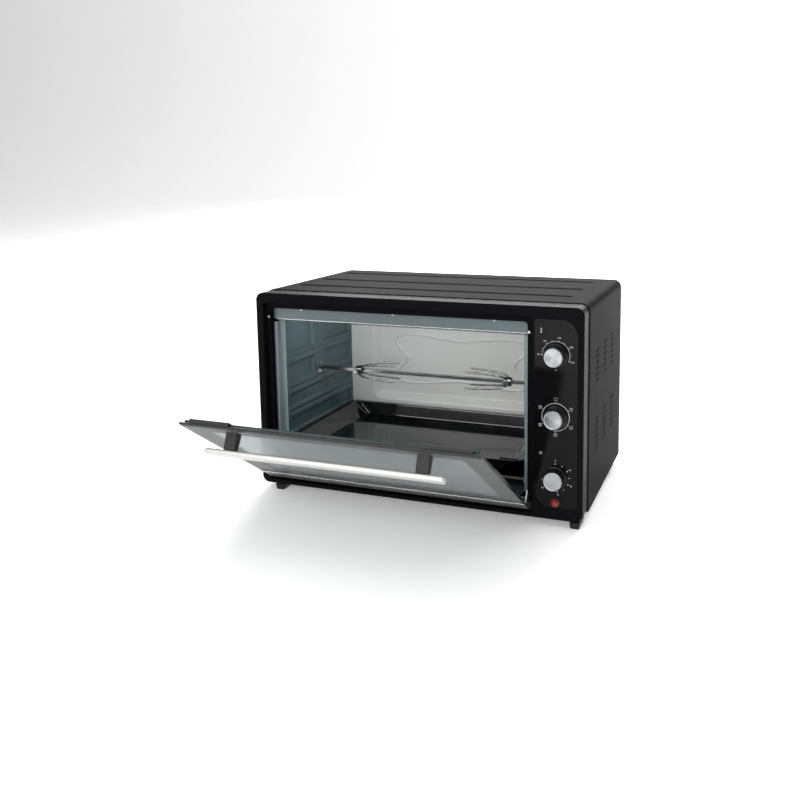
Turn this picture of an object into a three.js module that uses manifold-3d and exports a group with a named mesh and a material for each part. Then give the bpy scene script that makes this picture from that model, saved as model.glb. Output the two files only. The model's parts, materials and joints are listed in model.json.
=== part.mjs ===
// Countertop rotisserie oven: black sheet-metal casing, drop-down glass door, spit and drip tray.
// Millimetres, +Z up. X runs along the front, Y towards the back. While modelling, x = 0 is the middle
// of the casing, y = 0 the front plane of the bezel and z = 0 the underside of the casing.
import * as THREE from "three";
import { mergeVertices } from "three/addons/utils/BufferGeometryUtils.js";
import Module from "manifold-3d";

const wasm = await Module();
wasm.setup();

// ---------------------------------------------------------------- driving dimensions
const WIDTH = 580;              // casing, left to right
const HEIGHT = 338;             // casing, without the feet
const REAR_Y = 336;             // rear edge of the casing
const BEZEL_DEPTH = 40;         // front frame, front plane to the casing's front edge
const SHEET = 1.2;              // thickness of the folded sheet metal
const GAP = 0.3;                // clearance between pieces that touch
const FOOT_DROP = 15;           // floor to the underside of the casing

const CASING_RADIUS = 14;       // folded corners of the wrap
const BEZEL_INSET = 1.4;        // the bezel is this much inside the casing's outline
const BEZEL_BELOW = 4;          // and hangs this much below it
const BEZEL_RADIUS = 12;
const BEZEL_WALL = 3;

// Door recess and oven mouth in the bezel, both open to the front
const RECESS = { x0: -273, x1: 207.5, z0: 5, z1: 320, depth: 12.5, radii: [1, 6, 6, 1] };
const MOUTH = { x0: -265.5, x1: 196.5, z0: 19, z1: 309, radius: 6 };
const MOUTH_LIP = 22.5;         // how far back the lip around the mouth reaches

// Cavity, inner faces
const CAVITY = { x0: -252, x1: 185, y0: 36, y1: 283, z0: 24, z1: 314 };
const FLANGE_Y = 23;            // front flange of the cavity, just behind the mouth's lip
const SIDE_STEP = 8.5;          // the cavity widens by this much next to the mouth
const PANEL_DEPTH = 5;          // stamped side panels, pushed outwards
const RAIL_LEVELS = [           // rail bands on both side walls, bottom and top edge
  [203, 219],
  [147, 164],
  [103, 121],
  [62, 75],
];
const PANEL_Y = [40, 275];      // front and rear end of the stamped panels
const CHANNEL_Y = [132, 168];   // upright band that carries the spit bearing
const TRAY_LEDGE = 5;           // lowest rail stands this much further into the cavity

// Control column
const PANEL = { x0: 211, x1: 280, z0: 17.5, z1: 318, bigRadius: 26, smallRadius: 5 };
const KNOB_X = 245.5;
const KNOB_Z = { temperature: 262, function: 164.5, timer: 67 };
const KNOB_RADIUS = 18.5;
const KNOB_FACE_RADIUS = 15;
const KNOB_HEIGHT = 19.5;
const LAMP_Z = 25.5;
const SHAFT_RADIUS = 3;

// Spit
const SPIT = { y: 149, z: 175 };
const ROD_SIZE = 6;
const FORK_LEFT_X = -166;
const FORK_RIGHT_X = 124;

// Heating elements, tube centres
const HEATER_RADIUS = 3.3;
const HEATERS = {
  heater_upper_front: { y: 85, z: 299 },
  heater_upper_rear: { y: 225, z: 299 },
  heater_lower_front: { y: 50, z: 39 },
  heater_lower_rear: { y: 235, z: 39 },
};

// Drip tray
const TRAY = { x0: -250.5, x1: 183.5, y0: 27, y1: 277, rim: 77, floor: 55, sheet: 1.2 };

// Door, in its own closed frame: y = 0, z = 0 is the hinge axis and z runs up the closed door
const HINGE = { y: 7.6, z: 12 };
const DOOR_ANGLE = 55;          // degrees from closed, as stored
const DOOR = { x0: -265.5, x1: 205, face: -7.6, top: 296.3, railTop: 45.5 };
const OUTER_GLASS = 3.8;
const INNER_GLASS = { y0: -2.0, y1: 1.2, top: 292 };
const PROFILE_BOTTOM = 289;
const CLIP_LENGTH = 68;         // clips at the upper corners of the inner glass
const CLIP_INSET = 16;
const BAR = { x0: -220.5, x1: 153.5, y0: -41.2, y1: -32.4, z0: 265, z1: 279.4 };
const POST_X = { left: -180.5, right: 121 };
const POST_WIDTH = 19;
const POST_FOOT = { z0: 271, z1: 285 };   // where the posts meet the glass
const PIN_RADIUS = 2.5;

// ---------------------------------------------------------------- solids
const ROUND = 24;               // sides of a full circle

function toManifold(geometry) {
  const plain = geometry.index ? geometry.toNonIndexed() : geometry.clone();
  for (const name of Object.keys(plain.attributes)) {
    if (name !== "position") plain.deleteAttribute(name);
  }
  const merged = mergeVertices(plain, 1e-4);
  const solid = new wasm.Manifold(
    new wasm.Mesh({
      numProp: 3,
      vertProperties: new Float32Array(merged.attributes.position.array),
      triVerts: new Uint32Array(merged.index.array),
    }),
  );
  return solid;
}

function toGeometry(solid) {
  const mesh = solid.getMesh();
  const geometry = new THREE.BufferGeometry();
  geometry.setAttribute("position", new THREE.BufferAttribute(new Float32Array(mesh.vertProperties), 3));
  geometry.setIndex(new THREE.BufferAttribute(new Uint32Array(mesh.triVerts), 1));
  geometry.computeVertexNormals();
  return geometry;
}

function join(first, ...others) {
  return others.reduce((sum, solid) => sum.add(solid), first);
}

function cut(first, ...others) {
  return others.reduce((rest, solid) => rest.subtract(solid), first);
}

function box(x0, x1, y0, y1, z0, z1) {
  const geometry = new THREE.BoxGeometry(x1 - x0, y1 - y0, z1 - z0);
  geometry.translate((x0 + x1) / 2, (y0 + y1) / 2, (z0 + z1) / 2);
  return toManifold(geometry);
}

// Axes that carry an extrusion: (first, second, along)
const ALONG_X = new THREE.Matrix4().set(0, 0, 1, 0, 1, 0, 0, 0, 0, 1, 0, 0, 0, 0, 0, 1);
const ALONG_Y = new THREE.Matrix4().set(0, 1, 0, 0, 0, 0, 1, 0, 1, 0, 0, 0, 0, 0, 0, 1);
const ALONG_Z = new THREE.Matrix4();

function extrude(shape, start, end, axes, curveSegments = 5) {
  const settings = { depth: end - start, bevelEnabled: false, curveSegments, steps: 1 };
  const geometry = new THREE.ExtrudeGeometry(shape, settings);
  geometry.translate(0, 0, start);
  geometry.applyMatrix4(axes);
  return toManifold(geometry);
}

// Outline in (y, z), extruded along X
function prismX(points, x0, x1) {
  const shape = new THREE.Shape(points.map(([y, z]) => new THREE.Vector2(y, z)));
  return extrude(shape, x0, x1, ALONG_X);
}

// Outline in (x, y), extruded along Z
function prismZ(points, z0, z1) {
  const shape = new THREE.Shape(points.map(([x, y]) => new THREE.Vector2(x, y)));
  return extrude(shape, z0, z1, ALONG_Z);
}

// Rounded rectangle; radii in the order low-low, high-low, high-high, low-high
function roundedShape(u0, u1, v0, v1, radii) {
  const [r0, r1, r2, r3] = Array.isArray(radii) ? radii : [radii, radii, radii, radii];
  const shape = new THREE.Shape();
  shape.moveTo(u0 + r0, v0);
  shape.lineTo(u1 - r1, v0);
  if (r1) shape.absarc(u1 - r1, v0 + r1, r1, -Math.PI / 2, 0, false);
  shape.lineTo(u1, v1 - r2);
  if (r2) shape.absarc(u1 - r2, v1 - r2, r2, 0, Math.PI / 2, false);
  shape.lineTo(u0 + r3, v1);
  if (r3) shape.absarc(u0 + r3, v1 - r3, r3, Math.PI / 2, Math.PI, false);
  shape.lineTo(u0, v0 + r0);
  if (r0) shape.absarc(u0 + r0, v0 + r0, r0, Math.PI, 1.5 * Math.PI, false);
  return shape;
}

// Rounded plate in the plane of the front: x across, z up, extruded along Y.
// Radii in the order lower left, upper left, upper right, lower right.
function plateY(x0, x1, z0, z1, radii, y0, y1, curveSegments = 5) {
  return extrude(roundedShape(z0, z1, x0, x1, radii), y0, y1, ALONG_Y, curveSegments);
}

function cylinder(radius, start, end, axis, place, sides = ROUND) {
  const geometry = new THREE.CylinderGeometry(radius, radius, end - start, sides);
  const [a, b] = place;
  const middle = (start + end) / 2;
  if (axis === "x") {
    geometry.rotateZ(Math.PI / 2);
    geometry.translate(middle, a, b);
  } else if (axis === "y") {
    geometry.translate(a, middle, b);
  } else {
    geometry.rotateX(Math.PI / 2);
    geometry.translate(a, b, middle);
  }
  return toManifold(geometry);
}

// Points for a lathe, put in the order that makes its faces point outwards
function lathePoints(pairs) {
  let area = 0;
  pairs.forEach(([r, h], i) => {
    const [nextR, nextH] = pairs[(i + 1) % pairs.length];
    area += r * nextH - nextR * h;
  });
  const points = pairs.map(([r, h]) => new THREE.Vector2(r, h));
  return area < 0 ? points.reverse() : points;
}

// Profile of [radius, y] pairs turned about a line parallel to Y through (x, z)
function turnedY(profile, x, z, sides = 32) {
  const geometry = new THREE.LatheGeometry(lathePoints(profile), sides);
  geometry.translate(x, 0, z);
  return toManifold(geometry);
}

// Profile of [radius, x] pairs turned about a line parallel to X through (y, z)
function turnedX(profile, y, z, sides = ROUND) {
  const geometry = new THREE.LatheGeometry(lathePoints(profile.map(([r, x]) => [r, -x])), sides);
  geometry.rotateZ(Math.PI / 2);
  geometry.translate(0, y, z);
  return toManifold(geometry);
}

// Box whose high-y face is smaller or larger than its low-y face by `spread` on every side
function dish(x0, x1, z0, z1, y0, y1, spread) {
  const geometry = new THREE.BoxGeometry(x1 - x0, y1 - y0, z1 - z0);
  const position = geometry.attributes.position;
  for (let i = 0; i < position.count; i += 1) {
    if (position.getY(i) > 0) {
      position.setX(i, position.getX(i) - Math.sign(position.getX(i)) * spread);
      position.setZ(i, position.getZ(i) - Math.sign(position.getZ(i)) * spread);
    }
  }
  geometry.translate((x0 + x1) / 2, (y0 + y1) / 2, (z0 + z1) / 2);
  return toManifold(geometry);
}

// ---------------------------------------------------------------- materials
function material(color, roughness, metalness, extra = {}) {
  return new THREE.MeshStandardMaterial({ color, roughness, metalness, ...extra });
}

const blackPaint = material(0x17181a, 0.42, 0.2);
const blackGloss = material(0x0b0c0e, 0.18, 0.1);
const blackPlastic = material(0x18191b, 0.5, 0.0);
const enamelGrey = material(0x66757c, 0.35, 0.3);
const backGrey = material(0xb9babb, 0.4, 0.3);
const brightSteel = material(0xd9d9d6, 0.25, 0.9);
const darkSteel = material(0x4b4e50, 0.4, 0.8);
const heaterSteel = material(0x5c564f, 0.5, 0.7);
const glassGrey = material(0xaeb8bc, 0.08, 0.0, { transparent: true, opacity: 0.45 });
const spunAluminium = material(0xe6e7ea, 0.22, 0.95);
const blackEnamel = material(0x060708, 0.12, 0.1);
const redLens = material(0xb01318, 0.2, 0.0);
const zincPlate = material(0x9a9d9f, 0.45, 0.8);

// ---------------------------------------------------------------- scene graph
const oven = new THREE.Group();
const door = new THREE.Group();

function add(parent, name, solid, look) {
  const mesh = new THREE.Mesh(toGeometry(solid), look);
  mesh.name = name;
  parent.add(mesh);
  return mesh;
}

// ---------------------------------------------------------------- casing
const HALF = WIDTH / 2;
const SLOT = { length: 22, height: 3.2, pitch: 10.2, rows: 6, skew: 2 };
const SLOT_COLUMNS = [105, 174, 243];     // middle of each column, along Y
const SLOT_GROUPS = [84, 199];            // lowest row of each group

function ventSlots(x0, x1) {
  const slots = [];
  for (const y of SLOT_COLUMNS) {
    for (const base of SLOT_GROUPS) {
      for (let row = 0; row < SLOT.rows; row += 1) {
        const z = base + row * SLOT.pitch;
        const outline = [
          [y - SLOT.length / 2, z],
          [y + SLOT.length / 2, z + SLOT.skew],
          [y + SLOT.length / 2, z + SLOT.skew + SLOT.height],
          [y - SLOT.length / 2, z + SLOT.height],
        ];
        slots.push(prismX(outline, x0, x1));
      }
    }
  }
  return slots;
}

function buildCasing() {
  const y0 = BEZEL_DEPTH + GAP;
  const radii = [0, CASING_RADIUS, CASING_RADIUS, 0];
  const outside = plateY(-HALF, HALF, 0, HEIGHT, radii, y0, REAR_Y);
  const inner = CASING_RADIUS - SHEET;
  const inside = plateY(
    -HALF + SHEET, HALF - SHEET, -1, HEIGHT - SHEET, [0, inner, inner, 0], y0 - 1, REAR_Y + 1,
  );
  const wrap = cut(outside, inside);
  const slots = [
    ...ventSlots(HALF - SHEET - 1, HALF + 1),
    ...ventSlots(-HALF - 1, -HALF + SHEET + 1),
  ];
  add(oven, "outer_casing", cut(wrap, ...slots), blackPaint);

  const bottom = box(-HALF + SHEET + GAP, HALF - SHEET - GAP, y0, REAR_Y, 0, SHEET);
  add(oven, "bottom_plate", bottom, zincPlate);
}

// ---------------------------------------------------------------- back cover and cord gland
const GLAND = { x: 222, z: 62, radius: 8 };

function buildBack() {
  const y0 = REAR_Y + GAP;
  const y1 = y0 + SHEET;
  const edge = CASING_RADIUS - 2;
  const cover = plateY(-HALF + 1.5, HALF - 1.5, 1.5, HEIGHT - 1.5, [2, edge, edge, 2], y0, y1);
  const vents = [];
  for (let row = 0; row < 6; row += 1) {
    const z = 230 + row * 13;
    vents.push(box(200, 268, y0 - 1, y1 + 1, z, z + 4));
  }
  const hole = cylinder(GLAND.radius + GAP, y0 - 1, y1 + 1, "y", [GLAND.x, GLAND.z]);
  add(oven, "back_cover", cut(cover, ...vents, hole), blackPaint);

  const rim = GLAND.radius + 3;
  const gland = turnedY(
    [
      [3.8, y0 - 8],
      [GLAND.radius, y0 - 8],
      [GLAND.radius, y1 + GAP],
      [rim, y1 + GAP],
      [rim, y1 + 3],
      [6.5, y1 + 7],
      [3.8, y1 + 7],
      [3.8, y0 - 8],
    ],
    GLAND.x, GLAND.z, ROUND,
  );
  add(oven, "cord_gland", gland, blackPlastic);
}

// ---------------------------------------------------------------- feet
const FOOT = { width: 17, length: 36, taper: 1.5 };
const FOOT_X = { left: -254, right: 276 };
const FOOT_Y = { front: 20, rear: 258 };

function buildFeet() {
  for (const [side, x] of Object.entries(FOOT_X)) {
    for (const [end, y] of Object.entries(FOOT_Y)) {
      const top = end === "front" ? -BEZEL_BELOW - GAP : -GAP;
      const geometry = new THREE.BoxGeometry(FOOT.width, FOOT.length, FOOT_DROP + top);
      const position = geometry.attributes.position;
      for (let i = 0; i < position.count; i += 1) {
        if (position.getZ(i) < 0) {
          position.setX(i, position.getX(i) - Math.sign(position.getX(i)) * FOOT.taper);
          position.setY(i, position.getY(i) - Math.sign(position.getY(i)) * FOOT.taper);
        }
      }
      geometry.translate(x, y, (top - FOOT_DROP) / 2);
      add(oven, `foot_${end}_${side}`, toManifold(geometry), blackPlastic);
    }
  }
}

// ---------------------------------------------------------------- bezel and control panel
const PANEL_SEAT = 1.7;         // depth of the shallow seat that holds the control panel
const PANEL_PROUD = 0.4;
const FRONT_WALL = 4;

function buildBezel() {
  const x0 = -HALF + BEZEL_INSET;
  const x1 = HALF - BEZEL_INSET;
  const z0 = -BEZEL_BELOW;
  const z1 = HEIGHT - BEZEL_INSET;
  const back = BEZEL_DEPTH + 1;
  const landBack = RECESS.depth + BEZEL_WALL;
  const wallX = RECESS.x1 + BEZEL_WALL;
  const block = plateY(x0, x1, z0, z1, BEZEL_RADIUS, 0, BEZEL_DEPTH);

  const inX0 = x0 + BEZEL_WALL;
  const inX1 = x1 - BEZEL_WALL;
  const inZ0 = z0 + BEZEL_WALL;
  const inZ1 = z1 - BEZEL_WALL;
  const rear = plateY(inX0, inX1, inZ0, inZ1, BEZEL_RADIUS - BEZEL_WALL, landBack, back);
  const column = plateY(wallX, inX1, inZ0, inZ1, [0, 0, 9, 9], FRONT_WALL, back);
  const leftRim = plateY(inX0, RECESS.x0 - BEZEL_WALL, 12, inZ1, [0, 9, 0, 0], FRONT_WALL, back);
  const topRim = box(RECESS.x0 - BEZEL_WALL - 1, wallX + 1, FRONT_WALL, back, RECESS.z1 + BEZEL_WALL, inZ1);
  const recess = plateY(RECESS.x0, RECESS.x1, RECESS.z0, RECESS.z1, RECESS.radii, -1, RECESS.depth);
  const mouth = plateY(MOUTH.x0, MOUTH.x1, MOUTH.z0, MOUTH.z1, MOUTH.radius, 0, back);

  const lipOut = plateY(
    MOUTH.x0 - 1.5, MOUTH.x1 + 1.5, MOUTH.z0 - 1.5, MOUTH.z1 + 1.5, MOUTH.radius + 1.5, landBack - 1, MOUTH_LIP,
  );
  const slotZ = [HINGE.z + 30, HINGE.z + 51];
  const leftSlot = box(DOOR.x0 - 4.6, DOOR.x0 + 0.4, RECESS.depth - 1, MOUTH_LIP + 1, ...slotZ);
  const rightSlot = box(DOOR.x1 - 0.4, RECESS.x1 - 0.2, RECESS.depth - 1, MOUTH_LIP + 1, ...slotZ);

  const seatRadii = [PANEL.bigRadius, PANEL.smallRadius, PANEL.bigRadius, PANEL.smallRadius];
  const seat = plateY(
    PANEL.x0 - GAP, PANEL.x1 + GAP, PANEL.z0 - GAP, PANEL.z1 + GAP, seatRadii, -1, PANEL_SEAT,
  );
  const holes = Object.values(KNOB_Z).map((z) => cylinder(5, -1, FRONT_WALL + 1, "y", [KNOB_X, z], 16));
  const lamp = cylinder(6, -1, FRONT_WALL + 1, "y", [KNOB_X, LAMP_Z], 16);

  const shell = cut(block, rear, column, leftRim, topRim, recess);
  const frame = cut(join(shell, lipOut), mouth, leftSlot, rightSlot, seat, ...holes, lamp);
  add(oven, "front_bezel", frame, blackPaint);
}

function buildControlPanel() {
  const radii = [PANEL.bigRadius, PANEL.smallRadius, PANEL.bigRadius, PANEL.smallRadius];
  const plate = plateY(
    PANEL.x0, PANEL.x1, PANEL.z0, PANEL.z1, radii, -PANEL_PROUD, PANEL_SEAT - GAP,
  );
  const holes = Object.values(KNOB_Z).map((z) => cylinder(4.5, -2, 3, "y", [KNOB_X, z], 16));
  const lamp = cylinder(5.6, -2, 3, "y", [KNOB_X, LAMP_Z], 16);
  add(oven, "control_panel", cut(plate, ...holes, lamp), blackGloss);
}

// ---------------------------------------------------------------- controls behind the panel
const CONTROL_BODIES = {
  temperature: { name: "thermostat_body", width: 40, height: 34, depth: 26 },
  function: { name: "function_switch_body", width: 42, height: 36, depth: 32 },
  timer: { name: "timer_body", width: 50, height: 50, depth: 40 },
};

function buildControls() {
  const knobBack = -PANEL_PROUD - 0.6;
  const knobFront = -KNOB_HEIGHT;
  const shaftEnd = 12;
  for (const [key, body] of Object.entries(CONTROL_BODIES)) {
    const z = KNOB_Z[key];
    const front = FRONT_WALL + GAP;
    const block = box(
      KNOB_X - body.width / 2, KNOB_X + body.width / 2, front, front + body.depth,
      z - body.height / 2, z + body.height / 2,
    );
    const bore = cylinder(SHAFT_RADIUS + 0.4, front - 1, shaftEnd + 0.6, "y", [KNOB_X, z], 16);
    add(oven, body.name, cut(block, bore), zincPlate);

    const shaftTip = knobFront + 6;
    add(oven, `${key}_shaft`, cylinder(SHAFT_RADIUS, shaftTip, shaftEnd, "y", [KNOB_X, z], 16), brightSteel);

    const knob = turnedY(
      [
        [0, knobBack],
        [KNOB_RADIUS, knobBack],
        [KNOB_RADIUS, knobBack - 2.4],
        [KNOB_RADIUS - 1.4, knobBack - 3.4],
        [KNOB_FACE_RADIUS + 0.9, knobFront + 0.8],
        [KNOB_FACE_RADIUS + 0.3, knobFront],
        [KNOB_FACE_RADIUS, knobFront],
        [KNOB_FACE_RADIUS, knobFront + 1.2],
        [0, knobFront + 1.2],
      ],
      KNOB_X, z,
    );
    const socket = cylinder(SHAFT_RADIUS + GAP, shaftTip - GAP, knobBack + 1, "y", [KNOB_X, z], 16);
    add(oven, `${key}_knob`, cut(knob, socket), blackPlastic);

    const capRadius = KNOB_FACE_RADIUS - GAP;
    const cap = turnedY(
      [
        [0, knobFront + 1.2 - GAP],
        [capRadius, knobFront + 1.2 - GAP],
        [capRadius, knobFront + 0.3],
        [capRadius - 0.4, knobFront],
        [0, knobFront],
      ],
      KNOB_X, z,
    );
    add(oven, `${key}_knob_cap`, cap, spunAluminium);
  }

  const lens = turnedY(
    [
      [0, 3.4],
      [4.6, 3.4],
      [4.6, -PANEL_PROUD - 0.2],
      [6.4, -PANEL_PROUD - 0.2],
      [6.4, -1.6],
      [5.4, -3.6],
      [3.4, -5],
      [0, -5.6],
    ],
    KNOB_X, LAMP_Z, ROUND,
  );
  add(oven, "pilot_lamp_lens", lens, redLens);
  const holder = cylinder(7, FRONT_WALL + GAP, FRONT_WALL + 22, "y", [KNOB_X, LAMP_Z], 16);
  add(oven, "pilot_lamp_holder", holder, blackPlastic);
}

// ---------------------------------------------------------------- cavity
const MIDDLE_X = (CAVITY.x0 + CAVITY.x1) / 2;
const PANEL_TOP = 290;
const FLANGE_OUT = 11;

// Left-hand wall as seen from above; the right-hand one is its mirror image
function sideWall(mirror) {
  const inner = CAVITY.x0;
  const outer = inner - SIDE_STEP;
  const back = CAVITY.y1 - GAP;
  const top = CAVITY.z1 + SHEET;
  const plan = [
    [outer - FLANGE_OUT, FLANGE_Y],
    [outer, FLANGE_Y],
    [outer, CAVITY.y0],
    [inner, CAVITY.y0],
    [inner, back],
    [inner - SHEET, back],
    [inner - SHEET, CAVITY.y0 + SHEET],
    [outer - SHEET, CAVITY.y0 + SHEET],
    [outer - SHEET, FLANGE_Y + SHEET],
    [outer - FLANGE_OUT, FLANGE_Y + SHEET],
  ];
  const sheet = prismZ(plan, CAVITY.z0 - SHEET, top);
  const baffleRoom = box(outer - FLANGE_OUT - 1, inner - SHEET - GAP, FLANGE_Y - 1, CAVITY.y0 - GAP, 283.8, top + 1);
  let wall = cut(sheet, baffleRoom);

  const windows = [];
  const [y0, y1] = PANEL_Y;
  const levels = [PANEL_TOP, ...RAIL_LEVELS.flatMap(([low, high]) => [high, low])];
  for (let i = 0; i < RAIL_LEVELS.length; i += 1) {
    const high = levels[2 * i];
    const low = levels[2 * i + 1];
    if (i < 2) {
      windows.push([y0, CHANNEL_Y[0], low, high]);
      windows.push([CHANNEL_Y[1], y1, low, high]);
    } else {
      windows.push([y0, y1, low, high]);
    }
  }
  for (const [a, b, low, high] of windows) {
    const bulge = box(inner - PANEL_DEPTH - SHEET, inner - SHEET / 2, a - SHEET, b + SHEET, low - SHEET, high + SHEET);
    const hollow = box(inner - PANEL_DEPTH, inner + 1, a, b, low, high);
    wall = cut(join(wall, bulge), hollow);
  }
  const [, ledgeTop] = RAIL_LEVELS[RAIL_LEVELS.length - 1];
  const ledge = box(inner - SHEET / 2, inner + TRAY_LEDGE, y0, y1, ledgeTop - SHEET, ledgeTop);
  wall = join(wall, ledge);

  const heaterHoles = Object.values(HEATERS).map(
    ({ y, z }) => cylinder(HEATER_RADIUS + 0.5, inner - 12, inner + 4, "x", [y, z], 16),
  );
  const spitHole = cylinder(6, inner - 12, inner + 4, "x", [SPIT.y, SPIT.z], 16);
  wall = cut(wall, ...heaterHoles, spitHole);
  return mirror ? wall.mirror([1, 0, 0]).translate([2 * MIDDLE_X, 0, 0]) : wall;
}

// Rear bulge of the cavity
const BULGE = { x0: -204, x1: 137, z0: 82, z1: 282, depth: 17, slope: 12 };

function buildCavity() {
  add(oven, "cavity_left_wall", sideWall(false), enamelGrey);
  add(oven, "cavity_right_wall", sideWall(true), enamelGrey);

  const { x0, x1, y0, y1, z0, z1 } = CAVITY;
  const flat = box(x0 - 7, x1 + 7, y1, y1 + SHEET, z0 - SHEET, z1 + SHEET);
  const outerDish = dish(
    BULGE.x0 - SHEET, BULGE.x1 + SHEET, BULGE.z0 - SHEET, BULGE.z1 + SHEET, y1, y1 + BULGE.depth + SHEET, BULGE.slope,
  );
  const innerDish = dish(BULGE.x0, BULGE.x1, BULGE.z0, BULGE.z1, y1 - 0.01, y1 + BULGE.depth, BULGE.slope);
  add(oven, "cavity_back_wall", cut(join(flat, outerDish), innerDish), backGrey);

  const inset = GAP;
  const ceiling = box(x0 + inset, x1 - inset, FLANGE_Y + 2 * SHEET, y1 - GAP, z1, z1 + SHEET);
  add(oven, "cavity_ceiling", ceiling, enamelGrey);
  const floor = box(x0 + inset, x1 - inset, FLANGE_Y, y1 - GAP, z0 - SHEET, z0);
  add(oven, "cavity_floor", floor, darkSteel);

  const baffle = prismX(
    [
      [FLANGE_Y, z1],
      [FLANGE_Y, 290],
      [FLANGE_Y + 1.6, 288.2],
      [FLANGE_Y + 11, 284.2],
      [FLANGE_Y + 11.4, 285.3],
      [FLANGE_Y + 2.4, 289.2],
      [FLANGE_Y + SHEET, 290.4],
      [FLANGE_Y + SHEET, z1],
    ],
    MOUTH.x0 - 4, MOUTH.x1 + 4,
  );
  add(oven, "top_baffle", baffle, enamelGrey);
}

// ---------------------------------------------------------------- heating elements
function buildHeaters() {
  const x0 = CAVITY.x0 - 13;
  const x1 = CAVITY.x1 + 13;
  for (const [name, { y, z }] of Object.entries(HEATERS)) {
    const element = turnedX(
      [
        [0, x0],
        [1.6, x0],
        [1.6, x0 + 5],
        [HEATER_RADIUS, x0 + 5],
        [HEATER_RADIUS, x1 - 5],
        [1.6, x1 - 5],
        [1.6, x1],
        [0, x1],
      ],
      y, z, 16,
    );
    add(oven, name, element, heaterSteel);
  }
}

// ---------------------------------------------------------------- drip tray
function buildTray() {
  const flange = 12;
  const wallRun = 27;           // how far the long walls lean in
  const { x0, x1, y0, y1, rim, floor, sheet } = TRAY;
  const inX0 = x0 + flange;
  const inX1 = x1 - flange;
  const inY0 = y0 + 9;
  const inY1 = y1 - 8;

  // Tapered pan between the rim and the floor, `grow` larger on every side
  function pan(grow, top) {
    const geometry = new THREE.BoxGeometry(inX1 - inX0 + 2 * grow, inY1 - inY0 + 2 * grow, top - floor + grow);
    const position = geometry.attributes.position;
    for (let i = 0; i < position.count; i += 1) {
      if (position.getZ(i) < 0) {
        position.setX(i, position.getX(i) - Math.sign(position.getX(i)) * wallRun);
        position.setY(i, position.getY(i) - Math.sign(position.getY(i)) * 7);
      }
    }
    geometry.translate((inX0 + inX1) / 2, (inY0 + inY1) / 2, (top + floor - grow) / 2);
    return toManifold(geometry);
  }

  const rimPlate = extrude(roundedShape(x0, x1, y0, y1, 14), rim - sheet, rim, ALONG_Z, 4);
  const middle = (x0 + x1) / 2 + 195;
  const tab = box(middle - 16, middle + 16, y0 + 0.4, y0 + 1.6, rim - 0.5, rim + 3.4);
  add(oven, "drip_tray", join(cut(join(rimPlate, pan(sheet, rim - 0.2)), pan(0, rim + 0.01)), tab), blackEnamel);
}

// ---------------------------------------------------------------- spit
const SOCKET = { x0: 175.5, x1: 183.5, neckEnd: 203 };

function buildSpitDrive() {
  const motorX = CAVITY.x1 + SIDE_STEP + 1.5;
  const motor = box(motorX, motorX + 22, SPIT.y - 25, SPIT.y + 25, SPIT.z - 25, SPIT.z + 25);
  const motorBore = cylinder(4.9, motorX - 1, SOCKET.neckEnd + 0.5, "x", [SPIT.y, SPIT.z], 16);
  add(oven, "rotisserie_motor", cut(motor, motorBore), zincPlate);

  const head = turnedX(
    [
      [0, SOCKET.x0],
      [7.5, SOCKET.x0],
      [7.5, SOCKET.x1],
      [4.5, SOCKET.x1],
      [4.5, SOCKET.neckEnd],
      [0, SOCKET.neckEnd],
    ],
    SPIT.y, SPIT.z,
  );
  const side = ROD_SIZE / 2 + GAP;
  const bore = box(SOCKET.x0 - 1, SOCKET.x1 - 0.8, SPIT.y - side, SPIT.y + side, SPIT.z - side, SPIT.z + side);
  add(oven, "spit_drive_socket", cut(head, bore), brightSteel);

  const plateX = CAVITY.x0 + GAP;
  const plate = box(plateX, plateX + 1.6, SPIT.y - 8, SPIT.y + 8, SPIT.z - 12, SPIT.z + 9);
  const notch = join(
    cylinder(3.5, plateX - 1, plateX + 3, "x", [SPIT.y, SPIT.z], 16),
    box(plateX - 1, plateX + 3, SPIT.y - 3.4, SPIT.y + 3.4, SPIT.z, SPIT.z + 12),
  );
  add(oven, "spit_bearing_plate", cut(plate, notch), brightSteel);
}

function buildRod() {
  const half = ROD_SIZE / 2;
  const leftEnd = CAVITY.x0 - 4;
  const shoulder = CAVITY.x0 + 5;
  const collarEnd = shoulder + 3;
  const square = box(
    collarEnd + GAP, SOCKET.x1 - 1.2, SPIT.y - half, SPIT.y + half, SPIT.z - half, SPIT.z + half,
  );
  add(oven, "spit_rod", square, brightSteel);

  // Turned left end: the journal that rests in the bearing plate, with a collar
  const journal = turnedX(
    [
      [0, leftEnd],
      [1.6, leftEnd],
      [2.9, leftEnd + 2],
      [2.9, shoulder],
      [5, shoulder],
      [5, collarEnd],
      [0, collarEnd],
    ],
    SPIT.y, SPIT.z,
  );
  add(oven, "spit_journal", journal, brightSteel);
}

// A fork: a hub that slides on the rod and two bent wires, each with two prongs
const FORK = { hub: 8, hubLength: 13, wire: 1.7, reach: 78, spread: 17 };

function prongWire(x, direction, tilt) {
  const { spread, reach, wire, hub } = FORK;
  const local = [
    [direction * reach, spread + 4],
    [direction * reach * 0.4, spread + 1],
    [direction * 7, spread - 4],
    [0, hub - 1],
    [0, 0],
    [0, -hub + 1],
    [direction * 7, -spread + 4],
    [direction * reach * 0.4, -spread - 1],
    [direction * reach, -spread - 4],
  ];
  const cos = Math.cos(tilt);
  const sin = Math.sin(tilt);
  const path = new THREE.CatmullRomCurve3(
    local.map(([u, v]) => new THREE.Vector3(x + u, SPIT.y + v * sin, SPIT.z + v * cos)),
  );
  const section = new THREE.Shape();
  section.absarc(0, 0, wire, 0, 2 * Math.PI, false);
  const settings = { steps: 20, curveSegments: 4, bevelEnabled: false, extrudePath: path };
  return toManifold(new THREE.ExtrudeGeometry(section, settings));
}

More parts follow.
